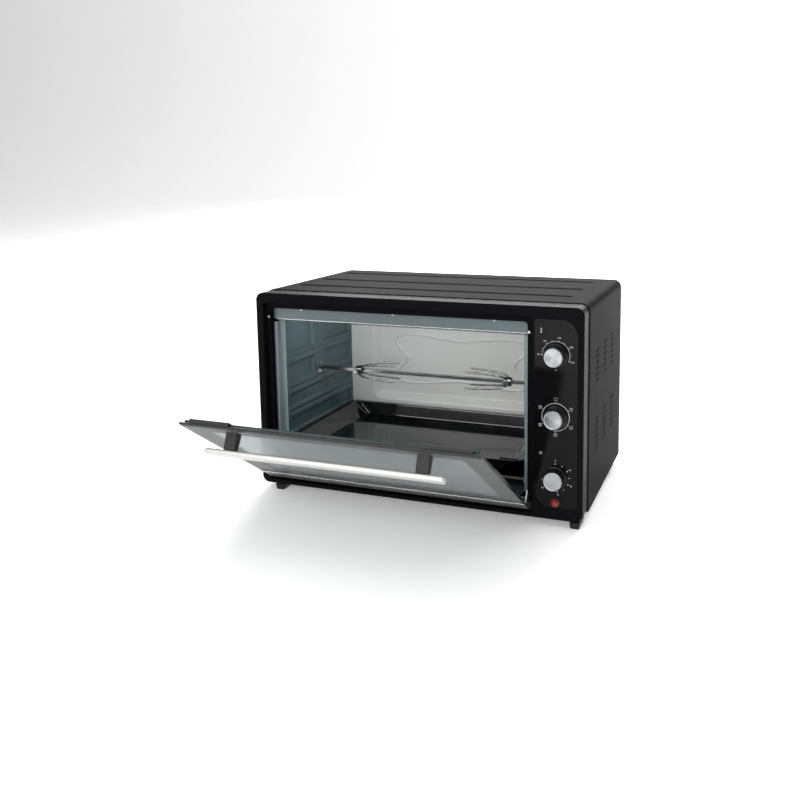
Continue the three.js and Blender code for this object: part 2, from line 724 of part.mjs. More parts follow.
function buildForks() {
  const half = FORK.hubLength / 2;
  const forks = { left: [FORK_LEFT_X, 1], right: [FORK_RIGHT_X, -1] };
  for (const [side, [x, direction]] of Object.entries(forks)) {
    const hub = cylinder(FORK.hub, x - half, x + half, "x", [SPIT.y, SPIT.z], 20);
    const opening = ROD_SIZE / 2 + 0.4;
    const bore = box(
      x - half - 1, x + half + 1, SPIT.y - opening, SPIT.y + opening, SPIT.z - opening, SPIT.z + opening,
    );
    const screwHole = cylinder(2.4, 0, FORK.hub + 2, "z", [x, 0], 12)
      .rotate([90, 0, 0])
      .translate([0, SPIT.y, SPIT.z]);
    const wires = join(prongWire(x, direction, Math.PI / 4), prongWire(x, direction, -Math.PI / 4));
    add(oven, `spit_fork_${side}`, cut(join(hub, wires), bore, screwHole), brightSteel);

    // Thumb screw, pointing forwards
    const tip = SPIT.y - opening - 0.2;
    const screw = turnedY(
      [
        [0, tip],
        [2, tip],
        [2, tip - 7.5],
        [4.6, tip - 7.5],
        [4.6, tip - 9],
        [5.2, tip - 10],
        [5.2, tip - 16],
        [4.4, tip - 17],
        [0, tip - 17],
      ],
      x, SPIT.z, 16,
    );
    add(oven, `fork_screw_${side}`, screw, brightSteel);
  }
}

// ---------------------------------------------------------------- hinge pins
function buildPins() {
  const left = [RECESS.x0 + GAP, DOOR.x0 + 6];
  const right = [DOOR.x1 - 6, RECESS.x1 - GAP];
  add(oven, "hinge_pin_left", cylinder(PIN_RADIUS, ...left, "x", [HINGE.y, HINGE.z]), brightSteel);
  add(oven, "hinge_pin_right", cylinder(PIN_RADIUS, ...right, "x", [HINGE.y, HINGE.z]), brightSteel);
}

// ---------------------------------------------------------------- door
const ARM_SHEET = 1.8;

function buildDoor() {
  const { x0, x1, face, top, railTop } = DOOR;
  const glassBack = face + OUTER_GLASS;

  // Hollow bottom rail; its lower front edge is rounded so that it clears the bezel
  const skin = [
    [face, railTop],
    [face, 13],
    [face + 0.5, 10.5],
    [face + 1.7, 7.5],
    [face + 2.2, 3],
    [face + 2.4, -2.6],
    [-3.4, -4.4],
    [1.2, -4.4],
    [3.2, -3.1],
    [4.2, -1.2],
    [4.2, railTop],
  ];
  const hollow = [
    [face + 1.5, railTop - 5],
    [face + 1.5, 13],
    [face + 3.6, 7],
    [face + 3.8, -2],
    [-2.8, -3],
    [0.6, -3],
    [2, -2.1],
    [2.8, -0.6],
    [2.8, railTop - 5],
  ];
  const groove = box(
    x0 - 1, x1 + 1, INNER_GLASS.y0 - GAP, INNER_GLASS.y1 + GAP, railTop - 3.5, railTop + 1,
  );
  const rail = cut(prismX(skin, x0, x1), prismX(hollow, x0 - 1, x1 + 1), groove);
  add(door, "door_bottom_rail", rail, darkSteel);

  const outer = box(x0, x1, face, glassBack, railTop + GAP, PROFILE_BOTTOM - GAP);
  add(door, "door_outer_glass", outer, glassGrey);
  const inner = box(
    x0 + 4, x1 - 4, INNER_GLASS.y0, INNER_GLASS.y1, railTop - 3.2, INNER_GLASS.top,
  );
  add(door, "door_inner_glass", inner, glassGrey);

  const profile = box(x0, x1, face, glassBack, PROFILE_BOTTOM, top);
  add(door, "door_top_profile", profile, blackPaint);

  const clips = {
    left: [x0 + CLIP_INSET, x0 + CLIP_INSET + CLIP_LENGTH],
    right: [x1 - CLIP_INSET + 4 - CLIP_LENGTH, x1 - CLIP_INSET + 4],
  };
  for (const [side, [a, b]] of Object.entries(clips)) {
    const outside = box(a, b, glassBack + GAP, INNER_GLASS.y1 + 1.3, INNER_GLASS.top - 14, top + 0.7);
    const slot = box(
      a - 1, b + 1, INNER_GLASS.y0 - GAP / 2, INNER_GLASS.y1 + GAP, INNER_GLASS.top - 15, INNER_GLASS.top + GAP,
    );
    add(door, `door_glass_clip_${side}`, cut(outside, slot), blackPlastic);
  }

  // Hinge arms: end plates that turn on the pins, each with a tongue that enters the bezel when closed
  const arms = {
    left: [x0 - GAP - ARM_SHEET, x0 - GAP],
    right: [x1 + GAP, x1 + GAP + ARM_SHEET],
  };
  for (const [side, [a, b]] of Object.entries(arms)) {
    const strip = extrude(roundedShape(-4.5, 4, -4.4, 46, [4, 4, 1, 1]), a, b, ALONG_X, 4);
    const tongue = box(a, b, 3, 14, 36, 46);
    const bore = cylinder(PIN_RADIUS + 0.12, a - 1, b + 1, "x", [0, 0]);
    add(door, `hinge_arm_${side}`, cut(join(strip, tongue), bore), brightSteel);
  }

  // Handle
  const bar = extrude(
    roundedShape(BAR.y0, BAR.y1, BAR.z0, BAR.z1, 2.5),
    BAR.x0, BAR.x1, ALONG_X, 4,
  );
  add(door, "handle_bar", bar, brightSteel);
  for (const [side, x] of Object.entries(POST_X)) {
    const outline = [
      [face - GAP, POST_FOOT.z0],
      [face - GAP, POST_FOOT.z1],
      [BAR.y1 + GAP, BAR.z1 - 0.8],
      [BAR.y1 + GAP, BAR.z0 + 3],
    ];
    add(door, `handle_post_${side}`, prismX(outline, x - POST_WIDTH / 2, x + POST_WIDTH / 2), blackPlastic);
  }

  door.position.set(0, HINGE.y, HINGE.z);
  door.rotation.x = THREE.MathUtils.degToRad(DOOR_ANGLE);
  oven.add(door);
}

// ---------------------------------------------------------------- assembly
buildCasing();
buildBack();
buildFeet();
buildBezel();
buildControlPanel();
buildControls();
buildCavity();
buildHeaters();
buildTray();
buildSpitDrive();
buildRod();
buildForks();
buildPins();
buildDoor();

// The origin is the middle of the underside of the oven's bounding box with the door as stored
oven.updateMatrixWorld(true);
const extent = new THREE.Box3().setFromObject(oven, true);
oven.position.set(0, -(extent.min.y + extent.max.y) / 2, -extent.min.z);

export default oven;
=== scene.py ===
"""Rotisserie oven: the detailed visual model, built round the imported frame.

Shapes are worked out in millimetres in the frame's own axes (x right, y back, z up) and become
metres when their mesh is made. The door's pieces are worked out with the door closed and its
hinge axis at y = 0, z = 0, and DOOR_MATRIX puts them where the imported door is.
"""
import json
import math

import bmesh
import bpy
from mathutils import Matrix, Vector


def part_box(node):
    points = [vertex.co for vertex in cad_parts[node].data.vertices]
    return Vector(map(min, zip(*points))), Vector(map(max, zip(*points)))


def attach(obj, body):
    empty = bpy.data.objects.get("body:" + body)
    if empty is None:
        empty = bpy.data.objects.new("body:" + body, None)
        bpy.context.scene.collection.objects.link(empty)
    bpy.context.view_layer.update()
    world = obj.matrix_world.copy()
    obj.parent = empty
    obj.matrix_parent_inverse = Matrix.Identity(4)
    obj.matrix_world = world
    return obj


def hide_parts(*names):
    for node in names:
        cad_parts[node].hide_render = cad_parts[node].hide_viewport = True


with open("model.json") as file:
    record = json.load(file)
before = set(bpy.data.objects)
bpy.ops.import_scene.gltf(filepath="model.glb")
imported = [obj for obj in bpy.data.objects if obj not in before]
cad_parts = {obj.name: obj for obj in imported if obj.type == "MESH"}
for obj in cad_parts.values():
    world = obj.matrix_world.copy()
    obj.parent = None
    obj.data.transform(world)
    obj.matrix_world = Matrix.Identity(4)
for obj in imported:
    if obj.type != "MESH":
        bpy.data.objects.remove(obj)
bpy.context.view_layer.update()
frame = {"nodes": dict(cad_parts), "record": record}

MM = 0.001


class Box:
    """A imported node's box, in millimetres."""

    def __init__(self, node):
        self.name = node
        low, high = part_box(node)
        self.x0, self.y0, self.z0 = (v / MM for v in low)
        self.x1, self.y1, self.z1 = (v / MM for v in high)
        self.cx = (self.x0 + self.x1) / 2
        self.cy = (self.y0 + self.y1) / 2
        self.cz = (self.z0 + self.z1) / 2


JOINTS = {joint["name"]: joint for joint in frame["record"]["behaviour"]["joints"]}
BEZEL = Box("front_bezel")
CASING = Box("outer_casing")
PANEL = Box("control_panel")
ROD = Box("spit_rod")
SPIT_Y = ROD.cy
SPIT_Z = ROD.cz

# ------------------------------------------------------------------ camera, floor and lights
FRONT = BEZEL.y0 * MM                 # front plane of the bezel
CASING_FOOT = CASING.z0 * MM          # underside of the casing


def make_camera():
    """The camera of the reference view: its place, turn, focal length and frame shift."""
    yaw, pitch, roll = 0.3326, 0.1318, -0.0063
    forward = Vector((-math.sin(yaw) * math.cos(pitch), math.cos(yaw) * math.cos(pitch), -math.sin(pitch)))
    level = Vector((math.cos(yaw), math.sin(yaw), 0))
    upright = level.cross(forward)
    right = math.cos(roll) * level + math.sin(roll) * upright
    up = -math.sin(roll) * level + math.cos(roll) * upright
    data = bpy.data.cameras.new("camera")
    data.sensor_width = 36
    data.lens = 37.335
    data.shift_x = -0.0955
    data.shift_y = -0.1490
    data.clip_start = 0.05
    data.clip_end = 50
    camera = bpy.data.objects.new("camera", data)
    bpy.context.scene.collection.objects.link(camera)
    turn = Matrix((right, up, -forward)).transposed().to_4x4()
    place = Vector((0.53696, FRONT - 1.21467, CASING_FOOT + 0.54271))
    camera.matrix_world = Matrix.Translation(place) @ turn
    bpy.context.scene.camera = camera


def area_light(name, place, target, size, power, color=(1, 1, 1)):
    data = bpy.data.lights.new(name, "AREA")
    data.shape = "RECTANGLE"
    data.size, data.size_y = size
    data.energy = power
    data.color = color
    light = bpy.data.objects.new(name, data)
    bpy.context.scene.collection.objects.link(light)
    light.location = place
    light.rotation_euler = (Vector(target) - Vector(place)).to_track_quat("-Z", "Y").to_euler()


def backdrop():
    """White sweep: a floor that curves up behind the oven."""
    front, bend, height, radius, half_width = -7000, 7000, 7000, 3500, 9000
    profile = [(front, 0), (0, 0), *arc(bend - radius, radius, radius, -90, 0, 16), (bend, height)]
    return grid(range(len(profile)), (-half_width, half_width), lambda i, x: (x, *profile[i]))


def make_stage():
    world = bpy.data.worlds.new("studio")
    world.use_nodes = True
    sky = world.node_tree.nodes["Background"].inputs
    sky["Color"].default_value = (1, 1, 1, 1)
    sky["Strength"].default_value = 0.3
    bpy.context.scene.world = world
    bpy.context.scene.view_settings.view_transform = "Standard"

    # Each lamp: its place, what it points at, its size in metres and its power in watts
    area_light("overhead", (0.0, 0.5, 5.0), (0, 0.5, 0), (9, 9), 240)
    area_light("rear_soft", (-0.4, 4.2, 2.45), (0, 0, 0.3), (4.5, 1.3), 300)
    area_light("front_soft", (-0.9, -2.3, 1.5), (0, 0, 0.15), (1.6, 1.0), 20)
    area_light("cavity_soft", (0.25, -1.9, 0.42), (0, 0, 0.18), (0.7, 0.4), 5)
    # A narrow lamp hidden behind the top baffle lights the back wall
    hidden = (-0.03, FRONT + 0.05, CASING_FOOT + 0.302)
    back_wall = (hidden[0], FRONT + 0.28, CASING_FOOT + 0.14)
    area_light("cavity_wash", hidden, back_wall, (0.38, 0.012), 0.36, (1, 0.97, 0.93))

    floor = raw_object("floor", backdrop())
    floor.data.polygons.foreach_set("use_smooth", [True] * len(floor.data.polygons))
    material, _, shader = new_material("floor")
    for socket, value in (("Base Color", (0.96, 0.96, 0.96, 1)), ("Roughness", 0.9), ("Specular IOR Level", 0.1),
                          ("Emission Color", (1, 1, 1, 1)), ("Emission Strength", 0.25)):
        shader.inputs[socket].default_value = value
    floor.data.materials.append(material)


# ------------------------------------------------------------------ materials
def new_material(name):
    material = bpy.data.materials.new(name)
    material.use_nodes = True
    return material, material.node_tree, material.node_tree.nodes["Principled BSDF"]


def noise(tree, scale, detail=3.0, stretch=(1, 1, 1)):
    """Noise in the object's own coordinates, in features per metre."""
    coordinates = tree.nodes.new("ShaderNodeTexCoord")
    mapping = tree.nodes.new("ShaderNodeMapping")
    mapping.inputs["Scale"].default_value = stretch
    texture = tree.nodes.new("ShaderNodeTexNoise")
    texture.inputs["Scale"].default_value = scale
    texture.inputs["Detail"].default_value = detail
    tree.links.new(coordinates.outputs["Object"], mapping.inputs["Vector"])
    tree.links.new(mapping.outputs["Vector"], texture.inputs["Vector"])
    return texture.outputs["Fac"]


def spread(tree, factor, low, high):
    """Maps a noise factor to a range."""
    node = tree.nodes.new("ShaderNodeMapRange")
    node.inputs["From Min"].default_value = 0.2
    node.inputs["From Max"].default_value = 0.8
    node.inputs["To Min"].default_value = low
    node.inputs["To Max"].default_value = high
    tree.links.new(factor, node.inputs["Value"])
    return node.outputs["Result"]


def surface(name, color, roughness, metallic=0.0, mottle=0.12, mottle_scale=18, rough_spread=0.05,
            grain=0.0, grain_scale=900, grain_stretch=(1, 1, 1), coat=0.0, specular=0.5, second=None):
    """A finish with uneven colour and gloss and a fine surface grain.

    second is a colour it drifts towards in broad patches; grain is the depth of the relief in millimetres.
    """
    material, tree, shader = new_material(name)
    ramp = tree.nodes.new("ShaderNodeMix")
    ramp.data_type = "RGBA"
    other = second or tuple(v * (1 - mottle) for v in color)
    ramp.inputs["A"].default_value = (*color, 1)
    ramp.inputs["B"].default_value = (*other, 1)
    patches = noise(tree, mottle_scale, 1)
    tree.links.new(spread(tree, patches, 0, 1), ramp.inputs["Factor"])
    tree.links.new(ramp.outputs["Result"], shader.inputs["Base Color"])
    gloss = noise(tree, mottle_scale * 3, 1)
    low, high = max(roughness - rough_spread, 0.02), roughness + rough_spread
    tree.links.new(spread(tree, gloss, low, high), shader.inputs["Roughness"])
    shader.inputs["Metallic"].default_value = metallic
    shader.inputs["Coat Weight"].default_value = coat
    shader.inputs["Specular IOR Level"].default_value = specular
    if grain:
        bump = tree.nodes.new("ShaderNodeBump")
        bump.inputs["Strength"].default_value = 1.0
        bump.inputs["Distance"].default_value = grain * MM
        tree.links.new(noise(tree, grain_scale, 2, grain_stretch), bump.inputs["Height"])
        tree.links.new(bump.outputs["Normal"], shader.inputs["Normal"])
    return material


def glass(name, color, roughness, milk, ior):
    """Tinted glass; milk is the share of light that its coating scatters."""
    material, tree, shader = new_material(name)
    shader.inputs["Transmission Weight"].default_value = 1 - milk
    shader.inputs["IOR"].default_value = ior
    tint = tree.nodes.new("ShaderNodeMix")
    tint.data_type = "RGBA"
    tint.inputs["A"].default_value = (*color, 1)
    tint.inputs["B"].default_value = (*(v * 0.97 for v in color), 1)
    tree.links.new(noise(tree, 6), tint.inputs["Factor"])
    tree.links.new(tint.outputs["Result"], shader.inputs["Base Color"])
    tree.links.new(spread(tree, noise(tree, 20), roughness * 0.5, roughness * 1.5), shader.inputs["Roughness"])
    return material


def spun(name, color, roughness):
    """Metal turned on a lathe: fine rings and streaks that fan out from the middle."""
    material = surface(name, color, roughness, metallic=1.0, mottle=0.03, rough_spread=0.03)
    tree = material.node_tree
    shader = tree.nodes["Principled BSDF"]
    shader.inputs["Anisotropic"].default_value = 0.85
    tangent = tree.nodes.new("ShaderNodeTangent")
    tangent.direction_type = "RADIAL"
    tangent.axis = "Y"
    tree.links.new(tangent.outputs["Tangent"], shader.inputs["Tangent"])
    return material


PAINT = surface("black_paint", (0.014, 0.014, 0.014), 0.34, grain=0.002, grain_scale=1400, mottle_scale=9,
                rough_spread=0.015, specular=0.002)
BEZEL_PAINT = surface("bezel_paint", (0.007, 0.007, 0.008), 0.28, grain=0.002, grain_scale=1500, mottle_scale=12,
                      rough_spread=0.02, specular=0.012)
PANEL_GLOSS = surface("panel_gloss", (0.003, 0.003, 0.0035), 0.12, rough_spread=0.03, mottle_scale=30, specular=0.15)
PLASTIC = surface("black_plastic", (0.008, 0.008, 0.009), 0.42, grain=0.015, grain_scale=2500, mottle_scale=40,
                  specular=0.3)
KNOB_PLASTIC = surface("knob_plastic", (0.005, 0.005, 0.006), 0.28, grain=0.004, grain_scale=2500, specular=0.35)
POST_PLASTIC = surface("post_plastic", (0.03, 0.03, 0.032), 0.4, grain=0.01, grain_scale=2500, specular=0.3)
PRINT = surface("dial_print", (0.62, 0.63, 0.64), 0.5, mottle_scale=200)
WALL_COAT = surface("cavity_coating", (0.08, 0.13, 0.152), 0.3, second=(0.073, 0.122, 0.144), mottle_scale=4,
                    grain=0.002, grain_scale=900, rough_spread=0.01, specular=0.5)
# A lighter copy of the cavity coating on the mouth's return paints the highlight along its rounded step
RETURN_HIGHLIGHT_COAT = surface("return_coating", (0.28, 0.34, 0.36), 0.25, mottle_scale=8, grain=0.002, grain_scale=900,
                      specular=0.7)
BAFFLE_COAT = surface("baffle_coating", (0.14, 0.18, 0.19), 0.3, second=(0.11, 0.145, 0.155), mottle_scale=10,
                      grain=0.006, grain_scale=900)
BACK_COAT = surface("back_coating", (0.76, 0.8, 0.81), 0.32, second=(0.74, 0.75, 0.74), mottle_scale=4,
                    grain=0.006, grain_scale=700)
FLOOR_COAT = surface("cavity_floor_coating", (0.05, 0.055, 0.06), 0.4, mottle_scale=10, grain=0.008)
TRAY_ENAMEL = surface("tray_enamel", (0.004, 0.004, 0.0045), 0.08, rough_spread=0.02, mottle_scale=20,
                      grain=0.004, grain_scale=400, specular=0.7)
BRIGHT = surface("bright_steel", (0.6, 0.6, 0.59), 0.28, metallic=1.0, grain=0.002,
                 grain_scale=600, grain_stretch=(0.05, 1, 1))
CHROME = surface("chrome_steel", (0.26, 0.26, 0.26), 0.16, metallic=1.0, rough_spread=0.05, mottle_scale=60)
RAIL = surface("rail_metal", (0.06, 0.06, 0.062), 0.3, metallic=0.0, grain=0.003,
               grain_scale=900, grain_stretch=(0.03, 1, 1), specular=0.45)
# The rail's bright trim: partly real metal, partly a painted reflection of the wavy line along the glass's lower edge
TRIM_AND_REFLECTION = surface("rail_trim_and_reflection", (0.75, 0.75, 0.74), 0.2, metallic=1.0, mottle_scale=80)
HANDLE = surface("handle_steel", (0.66, 0.65, 0.625), 0.34, metallic=0.7, mottle=0.03, mottle_scale=12,
                 rough_spread=0.03)
HEATER = surface("heater_sheath", (0.12, 0.11, 0.1), 0.45, metallic=0.8, mottle=0.3, mottle_scale=60, grain=0.006)
CERAMIC = surface("ceramic", (0.6, 0.57, 0.5), 0.6, mottle_scale=80, grain=0.006)
GALVANISED = surface("galvanised", (0.5, 0.51, 0.52), 0.42, metallic=0.9, mottle=0.25, mottle_scale=70)
LENS = surface("red_lens", (0.3, 0.006, 0.01), 0.12, coat=0.4, mottle=0.2, mottle_scale=120)
GLASS = glass("clear_glass", (0.85, 0.87, 0.87), 0.03, milk=0.08, ior=1.03)
INNER_GLASS = glass("inner_glass", (0.46, 0.5, 0.51), 0.02, milk=0.42, ior=1.16)
GLASS_EDGE = surface("glass_edge", (0.008, 0.035, 0.032), 0.15, mottle=0.3, mottle_scale=60)
DARK_EDGE = surface("glass_dark_edge", (0.012, 0.014, 0.014), 0.2, mottle=0.2, mottle_scale=60)
GLASS_BORDER = surface("glass_border", (0.06, 0.06, 0.06), 0.5, mottle_scale=40, specular=0.02)
CAP = spun("knob_cap", (0.42, 0.43, 0.445), 0.26)


# The part's material slot for each finish whose name isn't the slot's own
SLOT_OF = {
    "black_paint": "casing_paint", "bezel_paint": "casing_paint", "dial_print": "panel_gloss",
    "knob_plastic": "black_plastic", "post_plastic": "black_plastic", "cavity_coating": "cavity_enamel",
    "return_coating": "cavity_enamel", "baffle_coating": "cavity_enamel", "back_coating": "cavity_back",
    "rail_trim_and_reflection": "bright_steel", "ceramic": "heater_sheath", "clear_glass": "door_glass",
    "inner_glass": "door_glass", "glass_border": "door_glass",
}


def slot_of(material):
    name = material.name.split(".")[0]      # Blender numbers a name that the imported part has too
    return SLOT_OF.get(name, name)


# ------------------------------------------------------------------ shapes, as (vertices, faces)
def arc(cu, cv, radius, start, end, count=8):
    """Points on a circle, in degrees."""
    angles = [math.radians(start + (end - start) * i / count) for i in range(count + 1)]
    return [(cu + radius * math.cos(a), cv + radius * math.sin(a)) for a in angles]


def rounded_rect(u0, u1, v0, v1, radii, count=8):
    """Outline from the lower left corner, anticlockwise; radii in the same order, or one for all four."""
    r = [max(v, 0.02) for v in (radii if isinstance(radii, (tuple, list)) else [radii] * 4)]
    points = arc(u0 + r[0], v0 + r[0], r[0], 180, 270, count)
    points += arc(u1 - r[1], v0 + r[1], r[1], 270, 360, count)
    points += arc(u1 - r[2], v1 - r[2], r[2], 0, 90, count)
    points += arc(u0 + r[3], v1 - r[3], r[3], 90, 180, count)
    return points


def loft(rings, closed=False):
    """Skin over rings of equally many points; the ends are capped unless the last ring meets the first."""
    size = len(rings[0])
    vertices = [point for ring in rings for point in ring]
    faces = []
    pairs = [(i, i + 1) for i in range(len(rings) - 1)]
    if closed:
        pairs.append((len(rings) - 1, 0))
    for a, b in pairs:
        for k in range(size):
            n = (k + 1) % size
            faces.append((a * size + k, a * size + n, b * size + n, b * size + k))
    if not closed:
        faces.append(tuple(reversed(range(size))))
        faces.append(tuple((len(rings) - 1) * size + k for k in range(size)))
    return vertices, faces


def on_axis(point, along, axis):
    """(first, second) in the plane across the axis, and the place along it."""
    u, v = point
    return {"x": (along, u, v), "y": (u, along, v), "z": (u, v, along)}[axis]


def ring(outline, along, axis="y"):
    return [on_axis(point, along, axis) for point in outline]


def prism(outline, start, end, axis):
    return loft([ring(outline, t, axis) for t in (start, end)])


def block(x0, x1, y0, y1, z0, z1):
    return prism([(y0, z0), (y1, z0), (y1, z1), (y0, z1)], x0, x1, "x")


def soft_bar(outline_at, start, end, radius, axis, count=5):
    """Bar whose two ends are rounded over; outline_at(inset) gives its section."""
    stations = []
    for i in range(count + 1):
        angle = math.pi / 2 * i / count
        stations.append((radius * (1 - math.sin(angle)), radius * (1 - math.cos(angle))))
    rings = [(start + along, inset) for inset, along in stations]
    rings += [(end - along, inset) for inset, along in reversed(stations)]
    return loft([ring(outline_at(inset), t, axis) for t, inset in rings])


def lathe(profile, centre, axis, segments=72):
    """Closed profile of (radius, along) turned about a line through centre."""
    cu, cv = centre
    vertices, rows = [], []
    for radius, along in profile:
        count = 1 if radius < 1e-6 else segments
        rows.append(list(range(len(vertices), len(vertices) + count)))
        for k in range(count):
            a = 2 * math.pi * k / segments
            vertices.append(on_axis((cu + radius * math.cos(a), cv + radius * math.sin(a)), along, axis))
    faces = []
    for i, row in enumerate(rows):
        other = rows[(i + 1) % len(rows)]
        for k in range(segments):
            n = (k + 1) % segments
            quad = [row[k % len(row)], row[n % len(row)], other[n % len(other)], other[k % len(other)]]
            face = tuple(dict.fromkeys(quad))
            if len(face) > 2:
                faces.append(face)
    return vertices, faces


def grid(us, vs, place):
    """Open sheet over two lists of parameters; place(u, v) gives the point."""
    vertices = [place(u, v) for u in us for v in vs]
    size = len(vs)
    faces = []
    for i in range(len(us) - 1):
        for j in range(size - 1):
            a = i * size + j
            faces.append((a, a + size, a + size + 1, a + 1))
    return vertices, faces


def smooth_path(points):
    """Catmull-Rom curve through the points, eight steps to a span."""
    knots = [Vector(p) for p in points]
    knots = [2 * knots[0] - knots[1], *knots, 2 * knots[-1] - knots[-2]]
    path = []
    for i in range(1, len(knots) - 2):
        a, b, c, d = knots[i - 1:i + 3]
        for t in (k / 8 for k in range(8)):
            path.append(0.5 * (2 * b + (c - a) * t + (2 * a - 5 * b + 4 * c - d) * t * t
                               + (3 * b - a - 3 * c + d) * t ** 3))
    path.append(knots[-2])
    return path


def wire(points, radius, tip, sides=14):
    """Round wire along a smooth path; tip is the length over which both ends taper to a point."""
    path = smooth_path(points)
    lengths = [0.0]
    for a, b in zip(path, path[1:]):
        lengths.append(lengths[-1] + (b - a).length)
    tangent = (path[1] - path[0]).normalized()
    normal = tangent.orthogonal().normalized()
    rings = []
    for i, point in enumerate(path):
        ahead = path[min(i + 1, len(path) - 1)] - path[max(i - 1, 0)]
        turn = tangent.rotation_difference(ahead.normalized())
        normal = turn @ normal
        tangent = ahead.normalized()
        side = tangent.cross(normal).normalized()
        end = min(lengths[i], lengths[-1] - lengths[i])
        thick = radius * min(1.0, 0.25 + 0.75 * end / tip)
        ring = []
        for k in range(sides):
            a = 2 * math.pi * k / sides
            ring.append(tuple(point + thick * (math.cos(a) * normal + math.sin(a) * side)))
        rings.append(ring)
    return loft(rings)


def join(*shapes):
    vertices, faces = [], []
    for points, polygons in shapes:
        base = len(vertices)
        vertices += points
        faces += [tuple(base + i for i in polygon) for polygon in polygons]
    return vertices, faces


def mirrored(shape, x):
    """The shape reflected in the plane at x."""
    points, polygons = shape
    return [(2 * x - px, py, pz) for px, py, pz in points], [tuple(reversed(f)) for f in polygons]


# ------------------------------------------------------------------ pieces
def raw_object(name, shape):
    points, polygons = shape
    mesh = bpy.data.meshes.new(name)
    mesh.from_pydata([tuple(v * MM for v in p) for p in points], [], polygons)
    piece = bpy.data.objects.new(name, mesh)
    bpy.context.scene.collection.objects.link(piece)
    return piece


def face_outwards(mesh):
    work = bmesh.new()
    work.from_mesh(mesh)
    bmesh.ops.recalc_face_normals(work, faces=work.faces)
    work.to_mesh(mesh)
    work.free()


def apply_modifiers(piece):
    bpy.context.view_layer.update()
    shape = piece.evaluated_get(bpy.context.evaluated_depsgraph_get())
    old = piece.data
    mesh = bpy.data.meshes.new_from_object(shape)
    piece.modifiers.clear()
    piece.data = mesh
    mesh.name = piece.name
    bpy.data.meshes.remove(old)


def piece(name, shape, material, body="root", replaces=(), slot=None, cuts=None, thickness=0.0,
          bevel=0.0, bevel_angle=32, matrix=None, smooth=38):
    """Makes one visible piece: cut, given its thickness, edges broken, smoothed, finished and attached."""
    made = raw_object(name, shape)
    if thickness:
        wall = made.modifiers.new("thickness", "SOLIDIFY")
        wall.thickness = thickness * MM
        wall.offset = -1
        wall.use_even_offset = True
    else:
        face_outwards(made.data)
    cutter = None
    if cuts:
        cutter = raw_object(name + "_cutter", cuts)
        face_outwards(cutter.data)
        hole = made.modifiers.new("cut", "BOOLEAN")
        hole.operation = "DIFFERENCE"
        hole.solver = "EXACT"
        hole.use_self = False
        hole.object = cutter
    if bevel:
        edge = made.modifiers.new("edges", "BEVEL")
        edge.width = bevel * MM
        edge.segments = 3
        edge.limit_method = "ANGLE"
        edge.angle_limit = math.radians(bevel_angle)
        edge.use_clamp_overlap = True
    if made.modifiers:
        apply_modifiers(made)
    if cutter:
        bpy.data.objects.remove(cutter)
    dress(made, material, smooth)
    if matrix is not None:
        made.matrix_world = matrix
    bpy.context.view_layer.update()
    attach(made, body)
    if replaces:
        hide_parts(*([replaces] if isinstance(replaces, str) else replaces))
    slot or slot_of(material)
    return made


def dress(made, material, smooth=38):
    made.data.materials.clear()
    made.data.materials.append(material)
    made.data.polygons.foreach_set("use_smooth", [True] * len(made.data.polygons))
    made.data.set_sharp_from_angle(angle=math.radians(smooth))
    # Large flat faces keep flat shading; only the rounded edges between them shade smoothly
    normals = made.modifiers.new("normals", "WEIGHTED_NORMAL")
    normals.keep_sharp = True
    apply_modifiers(made)


def refined(node, name, material, body="root", bevel=0.4):
    """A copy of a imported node's mesh with its flat faces made whole and its edges broken."""
    made = bpy.data.objects.new(name, frame["nodes"][node].data.copy())
    bpy.context.scene.collection.objects.link(made)
    work = bmesh.new()
    work.from_mesh(made.data)
    bmesh.ops.remove_doubles(work, verts=work.verts, dist=1e-6)
    bmesh.ops.dissolve_limit(work, angle_limit=math.radians(1), verts=work.verts, edges=work.edges)
    work.to_mesh(made.data)
    work.free()
    edge = made.modifiers.new("edges", "BEVEL")
    edge.width = bevel * MM
    edge.segments = 3
    edge.limit_method = "ANGLE"
    edge.angle_limit = math.radians(32)
    apply_modifiers(made)
    dress(made, material)
    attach(made, body)
    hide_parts(node)


def finish_node(node, material):
    """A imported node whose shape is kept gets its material."""
    data = frame["nodes"][node].data
    data.materials.clear()
    data.materials.append(material)


def screw_head(x, y, z, radius, height):
    """Pan head and its cross slot, facing towards lower y, on a surface at y."""
    profile = [(0, y), (radius, y)]
    for a in range(0, 90, 15):
        rise = 0.35 + 0.65 * math.sin(math.radians(a))
        profile.append((radius * math.cos(math.radians(a)), y - height * rise))
    profile.append((0, y - height))
    half, reach = radius * 0.12, radius * 0.55
    steps = ((-reach, -half), (-half, -half), (-half, -reach), (half, -reach), (half, -half), (reach, -half))
    cross = [(x + u, z + v) for u, v in steps] + [(x - u, z - v) for u, v in steps]
    return lathe(profile, (x, z), "y", 32), prism(cross, y - height - 1, y - height * 0.55, "y")


# ------------------------------------------------------------------ casing
GROOVES = {"places": (64.7, 149.7, 244.7), "x0": -256, "x1": 242, "half": 8.0, "depth": 2.4}
SLOTS = {"columns": (64.7, 133.7, 202.7), "groups": (84, 199), "rows": 6, "pitch": 10.2,
         "length": 22, "height": 3.2, "skew": 2.0}
CASING_RADIUS = 14
SHEET = 1.2


def groove_depth(x, y):
    """How far the top is pressed in at a point; y is counted from the casing's front edge."""
    depth = 0.0
    for place in GROOVES["places"]:
        along = max(GROOVES["x0"] - x, x - GROOVES["x1"], 0.0)
        distance = math.hypot(along, y - place) / GROOVES["half"]
        if distance < 1:
            depth = GROOVES["depth"] * (0.5 + 0.5 * math.cos(math.pi * distance)) ** 0.8
    return depth


